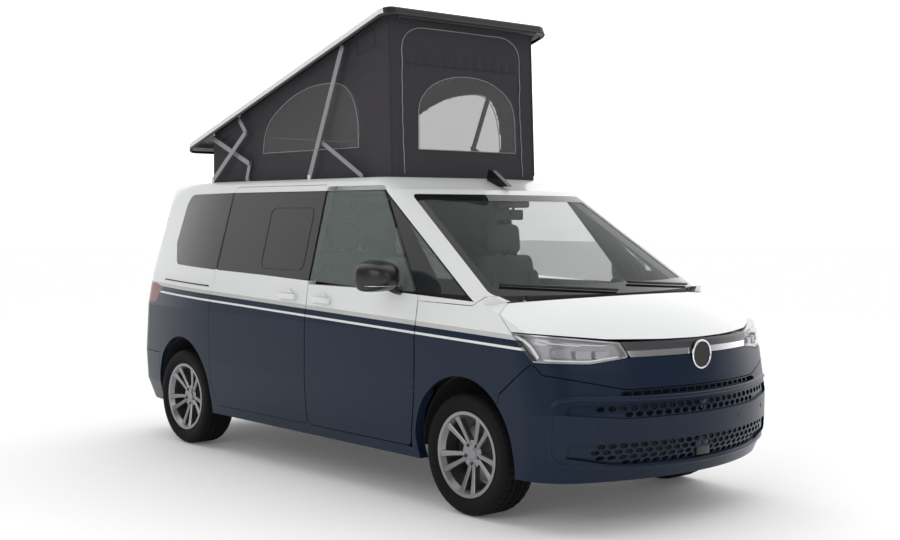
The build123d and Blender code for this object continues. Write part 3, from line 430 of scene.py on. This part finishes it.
# %% [markdown]
# The five pairs of spokes are cast with a flat machined face that runs out to the rim and gets wider there.
# Each face is a bar made from four sections with cut corners. Flat shading keeps its edges crisp.

# %% Spoke faces
SECTIONS = [  # radius, height, half width
    (0.058, 0.066, 0.0130), (0.110, 0.075, 0.0132), (0.165, 0.088, 0.0150), (0.222, 0.1035, 0.0190)]
SPOKE_DEEP, SPOKE_CUT, SPOKE_CORNERS = 0.022, 0.004, 6
SPOKES = [radians(72 * k + lean + 90) for k in range(5) for lean in (-12, 12)]
for name, (axle_x, hand) in WHEELS.items():
    points, faces = [], []
    for turn in SPOKES:
        out, side = Vector((cos(turn), 0, -sin(turn))), Vector((sin(turn), 0, cos(turn)))
        first = len(points)
        for radius, high, half in SECTIONS:
            flat = half - SPOKE_CUT
            edge = ((-half, -SPOKE_DEEP), (-half, -SPOKE_CUT), (-flat, 0),
                    (flat, 0), (half, -SPOKE_CUT), (half, -SPOKE_DEEP))
            points += [Vector((axle_x, hand * (WHEEL_SIDE + high + up), WHEEL_HIGH))
                       + radius * out + across * side for across, up in edge]
        bar = bands(len(SECTIONS), SPOKE_CORNERS, first) + two_ends(len(SECTIONS), SPOKE_CORNERS, first)
        faces += [face[::hand] for face in bar]
    piece("spoke_faces_" + name, points, faces, "alloy", name + "_wheel", False)
print("spoke faces per wheel:", len(SPOKES))

# %% [markdown]
# The tent is one sheet of cloth that goes round the roof opening.
# Its lower edge is held by the roof, its upper edge by the lid.
# We walk round it in small steps. Soft folds push the cloth in and out, and fade away at the held edges.

# %% The shape of the tent
TENT_LEAN, TENT_OVER = 0.045, 0.040
OUTWARD = (Vector((1, 0, 0)), Vector((0, 1, 0)), Vector((-1, 0, 0)), Vector((0, -1, 0)))
DRAWN_IN, WAVE, WIDE_FOLD, FINE_FOLD, CORNER_FOLD, GATHER = 0.008, 0.003, 0.014, 0.006, 0.006, 0.007
GATHER_AT, GATHER_HIGH, CORNER_WIDE = 0.745, 0.045, 0.10


def leaned(x):
    return x - TENT_LEAN * (x - TENT_REAR) / (TENT_FRONT - TENT_REAR)


def tent_top(x):
    return LID_TURN.z + (x - LID_TURN.x) * tan(LID_TILT) + TENT_OVER / cos(LID_TILT)


def tent_spot(turn, up):
    # turn: 0 to 1 along the front, 1 to 2 the left side, 2 to 3 the back, 3 to 4 the right side
    leg, t = int(turn) % 4, turn % 1
    x = (TENT_FRONT, TENT_FRONT + t * (TENT_REAR - TENT_FRONT),
         TENT_REAR, TENT_REAR + t * (TENT_FRONT - TENT_REAR))[leg]
    y = TENT_SIDE * (-1 + 2 * t, 1, 1 - 2 * t, -1)[leg]
    top_x = leaned(x)
    p = Vector((x + (top_x - x) * up, y, TENT_LOW + (tent_top(top_x) - TENT_LOW) * up))
    held = min(1, 6 * up, 6 * (1 - up)) * min(1, 9 * t, 9 * (1 - t))
    fold = WAVE * sin(9 * up + 14 * t + 3 * leg)
    fold += WIDE_FOLD * noise.noise(Vector((p.x * 3 + leg * 7, p.y * 3, p.z * 1.3)))
    fold += FINE_FOLD * noise.noise(Vector((p.x * 8 - p.z * 5, p.y * 8 + leg * 5, p.z * 3)))
    near_corner = exp(-(min(t, 1 - t) / CORNER_WIDE) ** 2)
    fold += CORNER_FOLD * near_corner * sin(46 * up + 12 * t + leg)
    if leg == 0:
        fold += GATHER * sin(95 * t) * exp(-((up - GATHER_AT) / GATHER_HIGH) ** 2)
    return p - OUTWARD[leg] * (DRAWN_IN - fold) * held


print("the tent's front wall is", round(tent_top(leaned(TENT_FRONT)) - TENT_LOW, 3), "high")

# %% [markdown]
# The mesh windows are the faces of the sheet that fall inside a window's outline.

# %% The tent cloth
def inside(shape, a, b):
    hit = False
    for (a0, b0), (a1, b1) in zip(shape, shape[1:] + shape[:1]):
        if (b0 > b) != (b1 > b) and a < (a1 - a0) * (b - b0) / (b1 - b0) + a0:
            hit = not hit
    return hit


def arch(low, high, half):
    middle = low + (high - low) * 0.5
    steps = [k * pi / 16 for k in range(1, 16)]
    bow = [(half * cos(t), low + (high - low) * (0.5 + 0.5 * sin(t))) for t in steps]
    return [(-half, low), (half, low), (half, middle)] + bow + [(-half, middle)]


FRONT_WINDOW = [(a + 0.04, b) for a, b in arch(2.110, 2.600, 0.425)]
PEAK, SILL, RISE, TO_REAR, TO_FRONT = -0.20, 2.125, 0.44, 0.79, 0.355
quarter = [k * pi / 24 for k in range(13)]
SIDE_WINDOW = [(PEAK - TO_REAR * cos(t), SILL + RISE * sin(t)) for t in quarter]
SIDE_WINDOW += [(PEAK + TO_FRONT * sin(t) ** 0.7, SILL + RISE * cos(t) ** 0.7) for t in quarter[1:-1]]
SIDE_WINDOW.append((PEAK + TO_FRONT, SILL))
WINDOWS = (FRONT_WINDOW, SIDE_WINDOW, [], SIDE_WINDOW)
WALLS, ROWS = (100, 170, 100, 170), 72
ring = [leg + k / WALLS[leg] for leg in range(4) for k in range(WALLS[leg])]
points = [tent_spot(turn, row / ROWS) for turn in ring for row in range(ROWS + 1)]
faces, is_mesh = [], []
for i, turn in enumerate(ring):
    j = (i + 1) % len(ring)
    leg = int(turn) % 4
    for row in range(ROWS):
        a, b = i * (ROWS + 1) + row, j * (ROWS + 1) + row
        faces.append((a, b, b + 1, a + 1))
        mid = (points[a] + points[b + 1]) / 2
        is_mesh.append(inside(WINDOWS[leg], mid.y if leg == 0 else mid.x, mid.z))
print("tent faces:", len(faces), "of them window:", sum(is_mesh))

# %% [markdown]
# Cloth looks right when it has a weave. A fine noise sets small bumps.
# The window cloth lets light through.

# %% Cloth materials
WEAVE_SCALE, WEAVE_STRENGTH, WEAVE_HIGH = 420, 0.25, 0.002
mat, tree, skin = finish("roof_cloth", (0.034, 0.031, 0.037), 0.88)
grain = tree.nodes.new("ShaderNodeTexNoise")
grain.inputs["Scale"].default_value = WEAVE_SCALE
coords = tree.nodes.new("ShaderNodeTexCoord")
tree.links.new(coords.outputs["Object"], grain.inputs["Vector"])
bump = tree.nodes.new("ShaderNodeBump")
bump.inputs["Strength"].default_value = WEAVE_STRENGTH
bump.inputs["Distance"].default_value = WEAVE_HIGH
tree.links.new(grain.outputs["Fac"], bump.inputs["Height"])
tree.links.new(bump.outputs["Normal"], skin.inputs["Normal"])
finish("window_mesh", (0.15, 0.15, 0.155), 0.8, alpha=0.50)
tent = piece("tent_cloth", points, faces, "roof_cloth", "van")
tent.data.materials.append(bpy.data.materials["window_mesh"])
tent.data.polygons.foreach_set("material_index", [int(m) for m in is_mesh])
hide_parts("roof_tent")

# %% [markdown]
# Piping follows the seams: up the corners, round the windows, along a gathered seam and over the front panel.
# It is made from the same walk round the cloth, so it lies on the folds.

# %% Seams and piping
def on_tent(leg, a, z):
    if leg == 0:
        t, x = (a / TENT_SIDE + 1) / 2, TENT_FRONT
    else:
        t = (a - TENT_FRONT) / (TENT_REAR - TENT_FRONT)
        t, x = (t if leg == 1 else 1 - t), a
    up = (z - TENT_LOW) / (tent_top(leaned(x)) - TENT_LOW)
    return tent_spot(leg + min(max(t, 0.0005), 0.9995), up) + OUTWARD[leg] * 0.002


PANEL_SIDE, PANEL_LOW, PANEL_HIGH, BEND_WIDE, BEND_HIGH = 0.52, 1.95, 2.74, 0.18, 0.15
BEND_AT = PANEL_SIDE - BEND_WIDE
bend = [k * pi / 12 for k in range(7)]
PANEL = [(-PANEL_SIDE, PANEL_LOW), (-PANEL_SIDE, PANEL_HIGH)]
PANEL += [(-BEND_AT - BEND_WIDE * cos(t), PANEL_HIGH + BEND_HIGH * sin(t)) for t in bend[1:]]
PANEL += [(BEND_AT + BEND_WIDE * sin(t), PANEL_HIGH + BEND_HIGH * cos(t)) for t in bend[:-1]]
PANEL += [(PANEL_SIDE, PANEL_HIGH), (PANEL_SIDE, PANEL_LOW)]
POCKET = [(0.17, 2.815), (0.335, 2.865), (0.345, 2.855), (0.345, 2.77),
          (0.335, 2.76), (0.17, 2.715), (0.16, 2.725), (0.16, 2.805)]
SEAMS = [  # name, wall, outline, closed, material
    ("front_window", 0, FRONT_WINDOW, True, "piping"), ("front_panel", 0, PANEL, False, "piping"),
    ("front_seam", 0, [(-0.51, 2.655), (0.51, 2.655)], False, "roof_cloth"),
    ("left_window", 1, SIDE_WINDOW, True, "piping"), ("left_pocket", 1, POCKET, True, "roof_cloth"),
    ("right_window", 3, SIDE_WINDOW, True, "piping"), ("right_pocket", 3, POCKET, True, "roof_cloth")]
piping = []
for name, leg, shape, closed, cloth in SEAMS:
    path = [on_tent(leg, a, b) for a, b in dense(shape, 0.02, closed)]
    piping.append(tube("piping_" + name, path, 0.0030, cloth, "van", closed, 6))
for turn, name in ((0.0, "right"), (1.0, "left")):
    path = [tent_spot(turn + 1e-6, k / 30) for k in range(1, 30)]
    piping.append(tube("piping_corner_" + name, path, 0.006, "roof_cloth", "van", False, 6))
for soft in [tent] + piping:
    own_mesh(soft)
print("piping pieces:", len(piping))

# %% [markdown]
# The lid has a black lip along its front edge and a rubber seal round its rim.
# Both are laid out flat and then turned with the lid.

# %% Lid trim
RIM_IN, RIM_SIDE, RIM_ROUND, RIM_HIGH = 0.09, 0.632, 0.086, 1.957
rim = [LID_TURNED @ Vector((a, b, RIM_HIGH))
       for a, b in rounded(LID_FRONT - RIM_IN, LID_REAR + RIM_IN, RIM_SIDE, -RIM_SIDE, RIM_ROUND, 6)]
tube("lid_seal", rim, 0.007, "black_trim", "raised_roof", True, 8)
lip = soft_box("lid_lip", (0.030, 1.20, 0.020), (0.672, 0, 1.950), 0.008, "black_trim", None)
lip.data.transform(LID_TURNED)
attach(lip, "raised_roof")
print("seal points:", len(rim))

# %% [markdown]
# Seats are stuffed pieces: a cushion, a leaning back, a headrest and two side rolls.
# Each is a box with generous rounding. One table places the seats and one places the pads on a seat.

# %% Seats
SEATS = (("front_left", AXLE, 0.39), ("front_right", AXLE, -0.39),
         ("rear_left", AXLE - 1.45, 0.10), ("rear_right", AXLE - 1.45, -0.46))
PADS = (  # name, size, where, rounding, steps of rounding, lean
    ("cushion_{}", (0.54, 0.50, 0.17), (-0.735, 0.0, 0.690), 0.055, 5, -0.06),
    ("back_{}", (0.13, 0.49, 0.72), (-1.035, 0.0, 1.060), 0.055, 5, -0.19),
    ("headrest_{}", (0.10, 0.28, 0.20), (-1.105, 0.0, 1.525), 0.045, 5, -0.1),
    ("bolster_{}_-1", (0.10, 0.09, 0.56), (-0.985, -0.20, 1.040), 0.04, 4, -0.19),
    ("bolster_{}_1", (0.10, 0.09, 0.56), (-0.985, 0.20, 1.040), 0.04, 4, -0.19))
STALKS, STALK_LOW, STALK_TOP = (("stalk_", 0.05), ("stalk2_", -0.05)), (-1.10, 1.36), (-1.105, 1.46)
for name, base, side in SEATS:
    for label, size, (dx, dy, z), round_by, steps, lean in PADS:
        soft_box(label.format(name), size, (base + dx, side + dy, z), round_by,
                             "seat_cloth", "van", steps, lean)
    soft_box("seat_base_" + name, (0.40, 0.38, 0.18), (base - 0.76, side, 0.527), 0.01,
             "cabin_plastic", "van", 2)
    for label, dy in STALKS:
        path = [(base + dx, side + dy, z) for dx, z in (STALK_LOW, STALK_TOP)]
        tube(label + name, path, 0.007, "chrome_trim", "van")
    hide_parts(name.split("_")[0] + "_seats")
print("seats:", len(SEATS))

# %% [markdown]
# Door handles lie on the curved door skin. Each is a rounded bar on two feet, over a shallow cup.
# A dark cover hides the rail that the sliding door runs on.

# %% Handles and rail covers
HANDLES = (("front_door", "{}_door", -1.336, 1.146), ("sliding_door", "van", -1.715, 1.153))
for hand, label in HANDS:
    for solid, body, rel, high in HANDLES:
        door, rider = f"{solid}_{label}", body.format(label)
        spot = on_side(door, AXLE + rel, high, hand)
        soft_box("handle_" + door, (0.19, 0.022, 0.038), spot + Vector((0, hand * 0.020, 0)), 0.010,
                 "white_paint", rider)
        for end in (-0.075, 0.075):
            soft_box(f"handle_foot_{door}_{end}", (0.03, 0.03, 0.03), spot + Vector((end, hand * 0.008, 0)),
                     0.008, "white_paint", rider)
        disc("handle_cup_" + door, spot + Vector((0, hand * 0.001, 0)), (0, hand, 0), 0.048, 0.0015,
             "white_paint", rider)
    rail = [on_side(f"side_frame_{label}", AXLE + rel, 1.178 - (rel + 2.7) * 0.03, hand, 0.001)
            for rel in [-3.46 + 0.04 * k for k in range(19)]]
    tube("rail_" + label, rail, 0.005, "black_trim", "van")
print("handles:", 2 * len(HANDLES), "rail points:", len(rail))

# %% [markdown]
# Between the front door and the sliding door a rubber seal closes the slit.
# A black post stands behind the glass above it.
# The seal follows the inner face of the front door's edge and keeps clear of it, so the door can open.

# %% Seal and post between the doors
SEAL_X, SEAL_R, SEAL_CLEAR = 0.012, 0.010, 0.0145
EDGE_X, RAY_SIDE, SEAL_LOW, SEAL_STEP = 0.03, 0.55, 0.40, 0.04
POST_X, POST_Z, POST_Y, POST_LEAN, POST_THICK = (-0.002, 0.060), (1.29, 1.83), 0.884, 0.248, 0.006
for hand, label in HANDS:
    door = node["front_door_" + label]
    hits = [touch(door, (EDGE_X, hand * RAY_SIDE, SEAL_LOW + SEAL_STEP * k), (0, hand, 0)) for k in range(21)]
    line = [Vector((SEAL_X, hit.y - hand * SEAL_CLEAR, hit.z)) for hit in hits if hit]
    tube("door_seal_" + label, line, SEAL_R, "black_trim", "van")
    points = [(x, hand * (POST_Y - POST_LEAN * (z - 1.4) - deep), z)
              for z in POST_Z for deep in (0, POST_THICK) for x in POST_X]
    faces = [(0, 1, 3, 2), (4, 6, 7, 5), (0, 4, 5, 1), (2, 3, 7, 6), (0, 2, 6, 4), (1, 5, 7, 3)]
    piece("door_post_" + label, points, [face[::hand] for face in faces], "black_trim", "van", False)
print("seal points:", len(line))

# %% [markdown]
# The sliding door's window has a smaller pane in it. Its edge is a thin line on the glass.

# %% Inset panes
PANE_FRONT, PANE_REAR, PANE_TOP, PANE_FOOT, PANE_ROUND = -1.61, -2.11, 1.733, 1.327, 0.05
loop = dense(rounded(AXLE + (PANE_FRONT - PANE_ROUND), AXLE + (PANE_REAR + PANE_ROUND),
                     PANE_TOP - PANE_ROUND, PANE_FOOT + PANE_ROUND, PANE_ROUND, 5), 0.05)
for hand, label in HANDS:
    path = [on_side("sliding_door_glass", a, b, hand, 0.0005) for a, b in loop]
    tube("inset_pane_" + label, path, 0.003, "black_trim", "van", True, 6)
print("inset pane points:", len(path))

# %% [markdown]
# Wipers rest at the foot of the windscreen. Rays along the van find the glass behind each point of the blade.

# %% Wipers
WIPERS = (("long", (-0.10, 1.25), (-0.78, 1.292)), ("short", (0.72, 1.25), (0.06, 1.288)))
for name, (y0, z0), (y1, z1) in WIPERS:
    steps = [k / 16 for k in range(17)]
    path = [on_front("windscreen", y0 + (y1 - y0) * t, z0 + (z1 - z0) * t, 0.012) for t in steps]
    tube("wiper_" + name, path, 0.008, "black_trim", "van", False, 8)
    print("wiper", name, "points:", len(path))

# %% [markdown]
# The bumper carries round parking sensors, two square radar covers and the thin edge of a tow-eye cap.
# A bright ring goes round the blank badge.

# %% Nose trim
SENSORS = ((-0.70, 0.565), (-0.33, 0.552), (0.33, 0.552), (0.70, 0.565))
BADGE_X, BADGE_HIGH, BADGE_R = 2.4475, 0.924, 0.076
TOW_Y, TOW_HIGH, TOW_R = -0.45, 0.553, 0.034
RADAR_X = 2.4595
for y, z in SENSORS:
    disc(f"sensor_{y}", on_front("front_bumper", y, z), (1, 0.5 * y, 0), 0.011, 0.002,
         "navy_paint", "van", 20)
ring = [Vector((BADGE_X, BADGE_R * cos(turn), BADGE_HIGH + BADGE_R * sin(turn))) for turn in turns(48)]
tube("badge_ring", ring, 0.0055, "chrome_trim", "van", True, 8)
ring = [on_front("front_bumper", TOW_Y + TOW_R * cos(turn), TOW_HIGH + TOW_R * sin(turn))
        for turn in turns(32)]
tube("tow_cap_edge", ring, 0.0012, "black_trim", "van", True, 6)
for name, z, wide, high in (("upper", 0.652, 0.05, 0.05), ("lower", 0.422, 0.11, 0.10)):
    soft_box("radar_" + name, (0.012, wide, high), (RADAR_X, 0.0, z), 0.004, "mirror_black", "van", 2)
print("sensors:", len(SENSORS))

# %% [markdown]
# A raised surround frames the bumper's openings.
# Half its outline is drawn, mirrored, cut into steps and smoothed. Then it is laid on the bumper's skin.

# %% Bumper surround
HALF = [(0.0, 0.712), (-0.50, 0.716), (-0.82, 0.728), (-0.885, 0.718), (-0.912, 0.690), (-0.918, 0.60),
        (-0.917, 0.47), (-0.910, 0.415), (-0.885, 0.382), (-0.82, 0.364), (-0.49, 0.345), (0.0, 0.339)]
CUTS, SMOOTHINGS = 14, 6
whole = [Vector((0, y, z)) for y, z in HALF] + [Vector((0, -y, z)) for y, z in HALF[-2:0:-1]]
spots = [a.lerp(b, k / CUTS) for a, b in zip(whole, whole[1:] + whole[:1]) for k in range(CUTS)]
for again in range(SMOOTHINGS):
    spots = [(spots[k - 1] + 2 * p + spots[(k + 1) % len(spots)]) / 4 for k, p in enumerate(spots)]
spots = [on_front("front_bumper", p.y, p.z, -0.008) for p in spots]
tube("bumper_surround", spots, 0.017, "navy_paint", "van", True, 14)
print("surround points:", len(spots))

# %% [markdown]
# Behind the grilles stands a dark sheet, as a radiator would.
# Each headlamp gets bright strips along its edges.

# %% Behind the grilles and the lamps
SHEET_BACK, SHEET_LOW, SHEET_TOP = 0.085, 0.325, 0.770
across_y = [-0.84 + 0.04 * k for k in range(43)]
points = [(on_front("front_bumper", a, 0.55).x - SHEET_BACK, a, b)
          for a in across_y for b in (SHEET_LOW, SHEET_TOP)]
faces = [(2 * k, 2 * k + 2, 2 * k + 3, 2 * k + 1) for k in range(len(across_y) - 1)]
piece("grille_backing", points, faces, "black_trim", "van")
LAMP_STRIPS = (("outer", [(0.962, 1.045), (0.935, 0.935)], 0.009),
               ("lower", [(0.92, 0.926), (0.72, 0.918), (0.56, 0.938)], 0.006),
               ("upper", [(0.93, 1.030), (0.80, 1.012), (0.62, 1.000)], 0.003))
for hand in (-1, 1):
    for name, shape, radius in LAMP_STRIPS:
        path = [on_front("headlamps", hand * a, b, -0.014) for a, b in dense(shape, 0.02, False)]
        path = [p for p in path if p]
        if len(path) > 2:
            tube(f"lamp_strip_{name}_{hand}", path, radius, "light_lens", "van", False, 8)
        print("lamp strip", name, len(path))

# %% [markdown]
# The bars that lift the roof are pressed strips with wide round ends.
# A flat strip a little wider than each solid bar lies round it, on the same body, so it folds with the bar.

# %% Roof bar strips
ARM_FOOT, ARM_TOP = Vector((-1.846, 0, 1.945)), Vector((-1.482, 0, 2.7697))
LINK_PIN = ARM_FOOT + 0.257 * (ARM_TOP - ARM_FOOT).normalized()
ROOF_STRIPS = [  # name, body, one end, other end, side plane, width
    ("arm", "roof_arm_pair", ARM_FOOT, ARM_TOP, 0.690, 0.042),
    ("arm_link", "roof_link_pair", LINK_PIN, Vector((-1.289, 0, 1.940)), 0.676, 0.030),
    ("bar_a", "scissor_a_bars", Vector((-3.090, 0, 1.945)), Vector((-2.655, 0, 2.268)), 0.690, 0.036),
    ("link_a", "scissor_a_links", Vector((-2.7473, 0, 2.3698)), Vector((-2.655, 0, 2.268)), 0.676, 0.036),
    ("bar_b", "scissor_b_bars", Vector((-3.1258, 0, 2.2493)), Vector((-2.655, 0, 2.060)), 0.662, 0.036),
    ("link_b", "scissor_b_links", Vector((-2.694, 0, 1.945)), Vector((-2.655, 0, 2.060)), 0.648, 0.036),
]
STRIP_FACES = (-0.0004, 0.0064)
half_turn = [pi * k / 12 for k in range(13)]
for name, body, start, end, plane, wide in ROOF_STRIPS:
    along = (end - start).normalized()
    side = Vector((-along.z, 0, along.x))
    rim = [end + wide / 2 * (cos(t) * side + sin(t) * along) for t in half_turn]
    rim += [start - wide / 2 * (cos(t) * side + sin(t) * along) for t in half_turn]
    for hand, label in HANDS:
        points = [p + Vector((AXLE, hand * (plane + off), 0)) for off in STRIP_FACES for p in rim]
        faces = [face[::hand] for face in bands(2, len(rim)) + two_ends(2, len(rim))]
        piece(f"strip_{name}_{label}", points, faces, "alloy_bar", body, False)
print("roof bar strips:", 2 * len(ROOF_STRIPS))

# %% [markdown]
# The tailgate is opened by a plain bar under its window. A ray from behind finds the skin.

# %% Tailgate bar
spot = touch(node["tailgate"], (-4, 0, 1.0), (1, 0, 0))
soft_box("tailgate_bar", (0.016, 0.46, 0.030), spot + Vector((-0.004, 0, 0)), 0.005,
         "black_trim", "tailgate_door", 2)
print("tailgate skin at", [round(v, 3) for v in spot])

# %% [markdown]
# Behind the top of the windscreen hang a cover for the rain sensor and the inside mirror on its short stalk.
# Both are placed from a point on the glass, so they stay behind it.

# %% Inside mirror
glass = on_front("windscreen", 0.0, 1.745)
soft_box("sensor_cover", (0.13, 0.15, 0.045), glass + Vector((-0.115, 0, 0.012)), 0.016,
         "cabin_plastic", "van")
stalk = [glass + Vector(step) for step in ((-0.12, 0, 0.0), (-0.135, 0, -0.03), (-0.15, 0, -0.05))]
tube("mirror_stalk", stalk, 0.009, "cabin_plastic", "van", False, 10)
soft_box("inside_mirror", (0.026, 0.235, 0.066), glass + Vector((-0.165, 0, -0.055)), 0.012,
         "cabin_plastic", "van")
print("inside mirror hangs behind", [round(v, 3) for v in glass])

# %% [markdown]
# A door mirror's housing is a soft shell in place of the plain solid one.
# Its rings of points are rounded squares. They start at the open back, where the mirror face sits,
# and shrink towards the front.
# A short foot joins it to the door, and a thin bright line crosses its front.

# %% Mirrors
finish("mirror_face", (0.85, 0.87, 0.88), 0.03, 1.0)
MIRROR = Vector((AXLE - 0.642, 1.1025, 1.328))
DEEP, WIDE, HIGH, SWEPT_IN = 0.185, 0.119, 0.097, 0.022
BULGE, SHOULDER, SQUARENESS, TOP_SLOPE, LOWER_HALF = 2.4, 0.45, 0.62, 0.16, 0.94
SHELL_SIDES, SHELL_RINGS = 48, 16
FOOT = ((-0.575, 0.925, 1.236), (-0.568, 0.975, 1.246), (-0.560, 1.04, 1.272))
LINE_FROM, LINE_STEP, LINE_HIGH = 1.01, 0.0095, 1.276


def mirror_ring(share, hand, size=1.0):
    k = size * (1 - share ** BULGE) ** SHOULDER
    ring = []
    for turn in turns(SHELL_SIDES):
        c, d = cos(turn), sin(turn)
        across = (1 if c > 0 else -1) * abs(c) ** SQUARENESS
        high = (1 if d > 0 else -1) * abs(d) ** SQUARENESS
        high *= 1 - TOP_SLOPE * max(across, 0) if d > 0 else LOWER_HALF
        ring.append(MIRROR + Vector((DEEP * share, WIDE * k * across - SWEPT_IN * share, HIGH * k * high)))
    return [Vector((p.x, hand * p.y, p.z)) for p in ring]


for hand, label in HANDS:
    body = label + "_door"
    rings = [mirror_ring(0.05, hand, 0.90), mirror_ring(0.0, hand, 0.93), mirror_ring(0.0, hand, 0.99)]
    rings += [mirror_ring(sin(pi / 2 * k / SHELL_RINGS), hand) for k in range(1, SHELL_RINGS)]
    points = [p for ring in rings for p in ring]
    back, tip = two_ends(len(rings), SHELL_SIDES)
    faces = bands(len(rings), SHELL_SIDES) + [back[::-1], tip]
    shell = piece("mirror_shell_" + label, points, [face[::-hand] for face in faces], "mirror_black", body)
    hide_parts("mirror_" + label)
    foot = [(AXLE + dx, hand * y, z) for dx, y, z in FOOT]
    tube("mirror_foot_" + label, foot, 0.024, "mirror_black", body, False, 16)
    face = [p + Vector((0.006, 0, 0)) for p in mirror_ring(0.0, hand, 0.89)]
    piece("mirror_face_" + label, face, [tuple(range(SHELL_SIDES))[::-hand]], "mirror_face", body, False)
    bpy.context.view_layer.update()
    line = [touch(shell, (4, hand * (LINE_FROM + LINE_STEP * k), LINE_HIGH), (-1, 0, 0)) for k in range(21)]
    tube("mirror_line_" + label, line, 0.0018, "chrome_trim", body, False, 6)
print("mirror shells of", len(rings), "rings")

# %% [markdown]
# The stage is a wide pale floor. The sky is white behind the van and overhead, and darker in front of it,
# so the paint reflects something dark and keeps its depth.

# %% Floor and sky
FLOOR_HALF, FLOOR_Z = 60, -0.001
SKY_BRIGHT_SIDE = (-0.70, 0.61, 0.55)
SKY_RANGE = (("From Min", 0.12), ("From Max", 0.62), ("To Min", 0.20), ("To Max", 1.65))
mat, tree, skin = finish("floor_pale", (0.92, 0.92, 0.92), 0.9)
skin.inputs["Emission Color"].default_value = (1, 1, 1, 1)
skin.inputs["Emission Strength"].default_value = 0.06
corners = [(FLOOR_HALF * a, FLOOR_HALF * b, FLOOR_Z) for a, b in ((-1, -1), (1, -1), (1, 1), (-1, 1))]
stage = [piece("floor", corners, [(0, 1, 2, 3)], "floor_pale", None)]
world = bpy.data.worlds.new("sky")
world.use_nodes = True
tree = world.node_tree
coords = tree.nodes.new("ShaderNodeTexCoord")
behind = tree.nodes.new("ShaderNodeVectorMath")
behind.operation = "DOT_PRODUCT"
tree.links.new(coords.outputs["Generated"], behind.inputs[0])
behind.inputs[1].default_value = SKY_BRIGHT_SIDE
bright = tree.nodes.new("ShaderNodeMapRange")
tree.links.new(behind.outputs["Value"], bright.inputs["Value"])
for plug, value in SKY_RANGE:
    bright.inputs[plug].default_value = value
tree.links.new(bright.outputs["Result"], tree.nodes["Background"].inputs["Strength"])
tree.nodes["Background"].inputs["Color"].default_value = (1, 1, 1, 1)
bpy.context.scene.world = world
print("sky has", len(tree.nodes), "nodes")

# %% [markdown]
# Two large soft lamps shape the van's right side and its nose.

# %% Lamps
LAMPS = (("side", (4, -9, 5), (0, 0, 1.2), 6, 260), ("nose", (9, -1, 4.5), (1, 0, 1), 5, 100))
for name, where, aim, size, power in LAMPS:
    lamp = bpy.data.lights.new(name, "AREA")
    lamp.size, lamp.energy = size, power
    obj = bpy.data.objects.new(name, lamp)
    obj.location = where
    obj.rotation_euler = (Vector(aim) - Vector(where)).to_track_quat("-Z", "Y").to_euler()
    bpy.context.scene.collection.objects.link(obj)
    stage.append(obj)
print("lamps:", len(LAMPS))

# %% [markdown]
# The camera stands where the photo was taken from. Three turns aim it, and the lens sets how much it sees.

# %% Camera
YAW, PITCH, ROLL = radians(49.044), radians(2.331), radians(0.151)
CAMERA_AT, LENS, FILM = (7.0015, -5.793, 1.679), 52.67, 36
ahead = Vector((-sin(YAW) * cos(PITCH), cos(YAW) * cos(PITCH), -sin(PITCH)))
right = Vector((cos(YAW), sin(YAW), 0))
up = right.cross(ahead)
right, up = cos(ROLL) * right + sin(ROLL) * up, -sin(ROLL) * right + cos(ROLL) * up
lens = bpy.data.cameras.new("camera")
lens.lens, lens.sensor_width = LENS, FILM
camera = bpy.data.objects.new("camera", lens)
camera.matrix_world = Matrix((right, up, -ahead)).transposed().to_4x4()
camera.location = CAMERA_AT
scene = bpy.context.scene
scene.collection.objects.link(camera)
scene.camera = camera
scene.view_settings.view_transform = "Standard"
print("camera at", [round(v, 2) for v in camera.location])
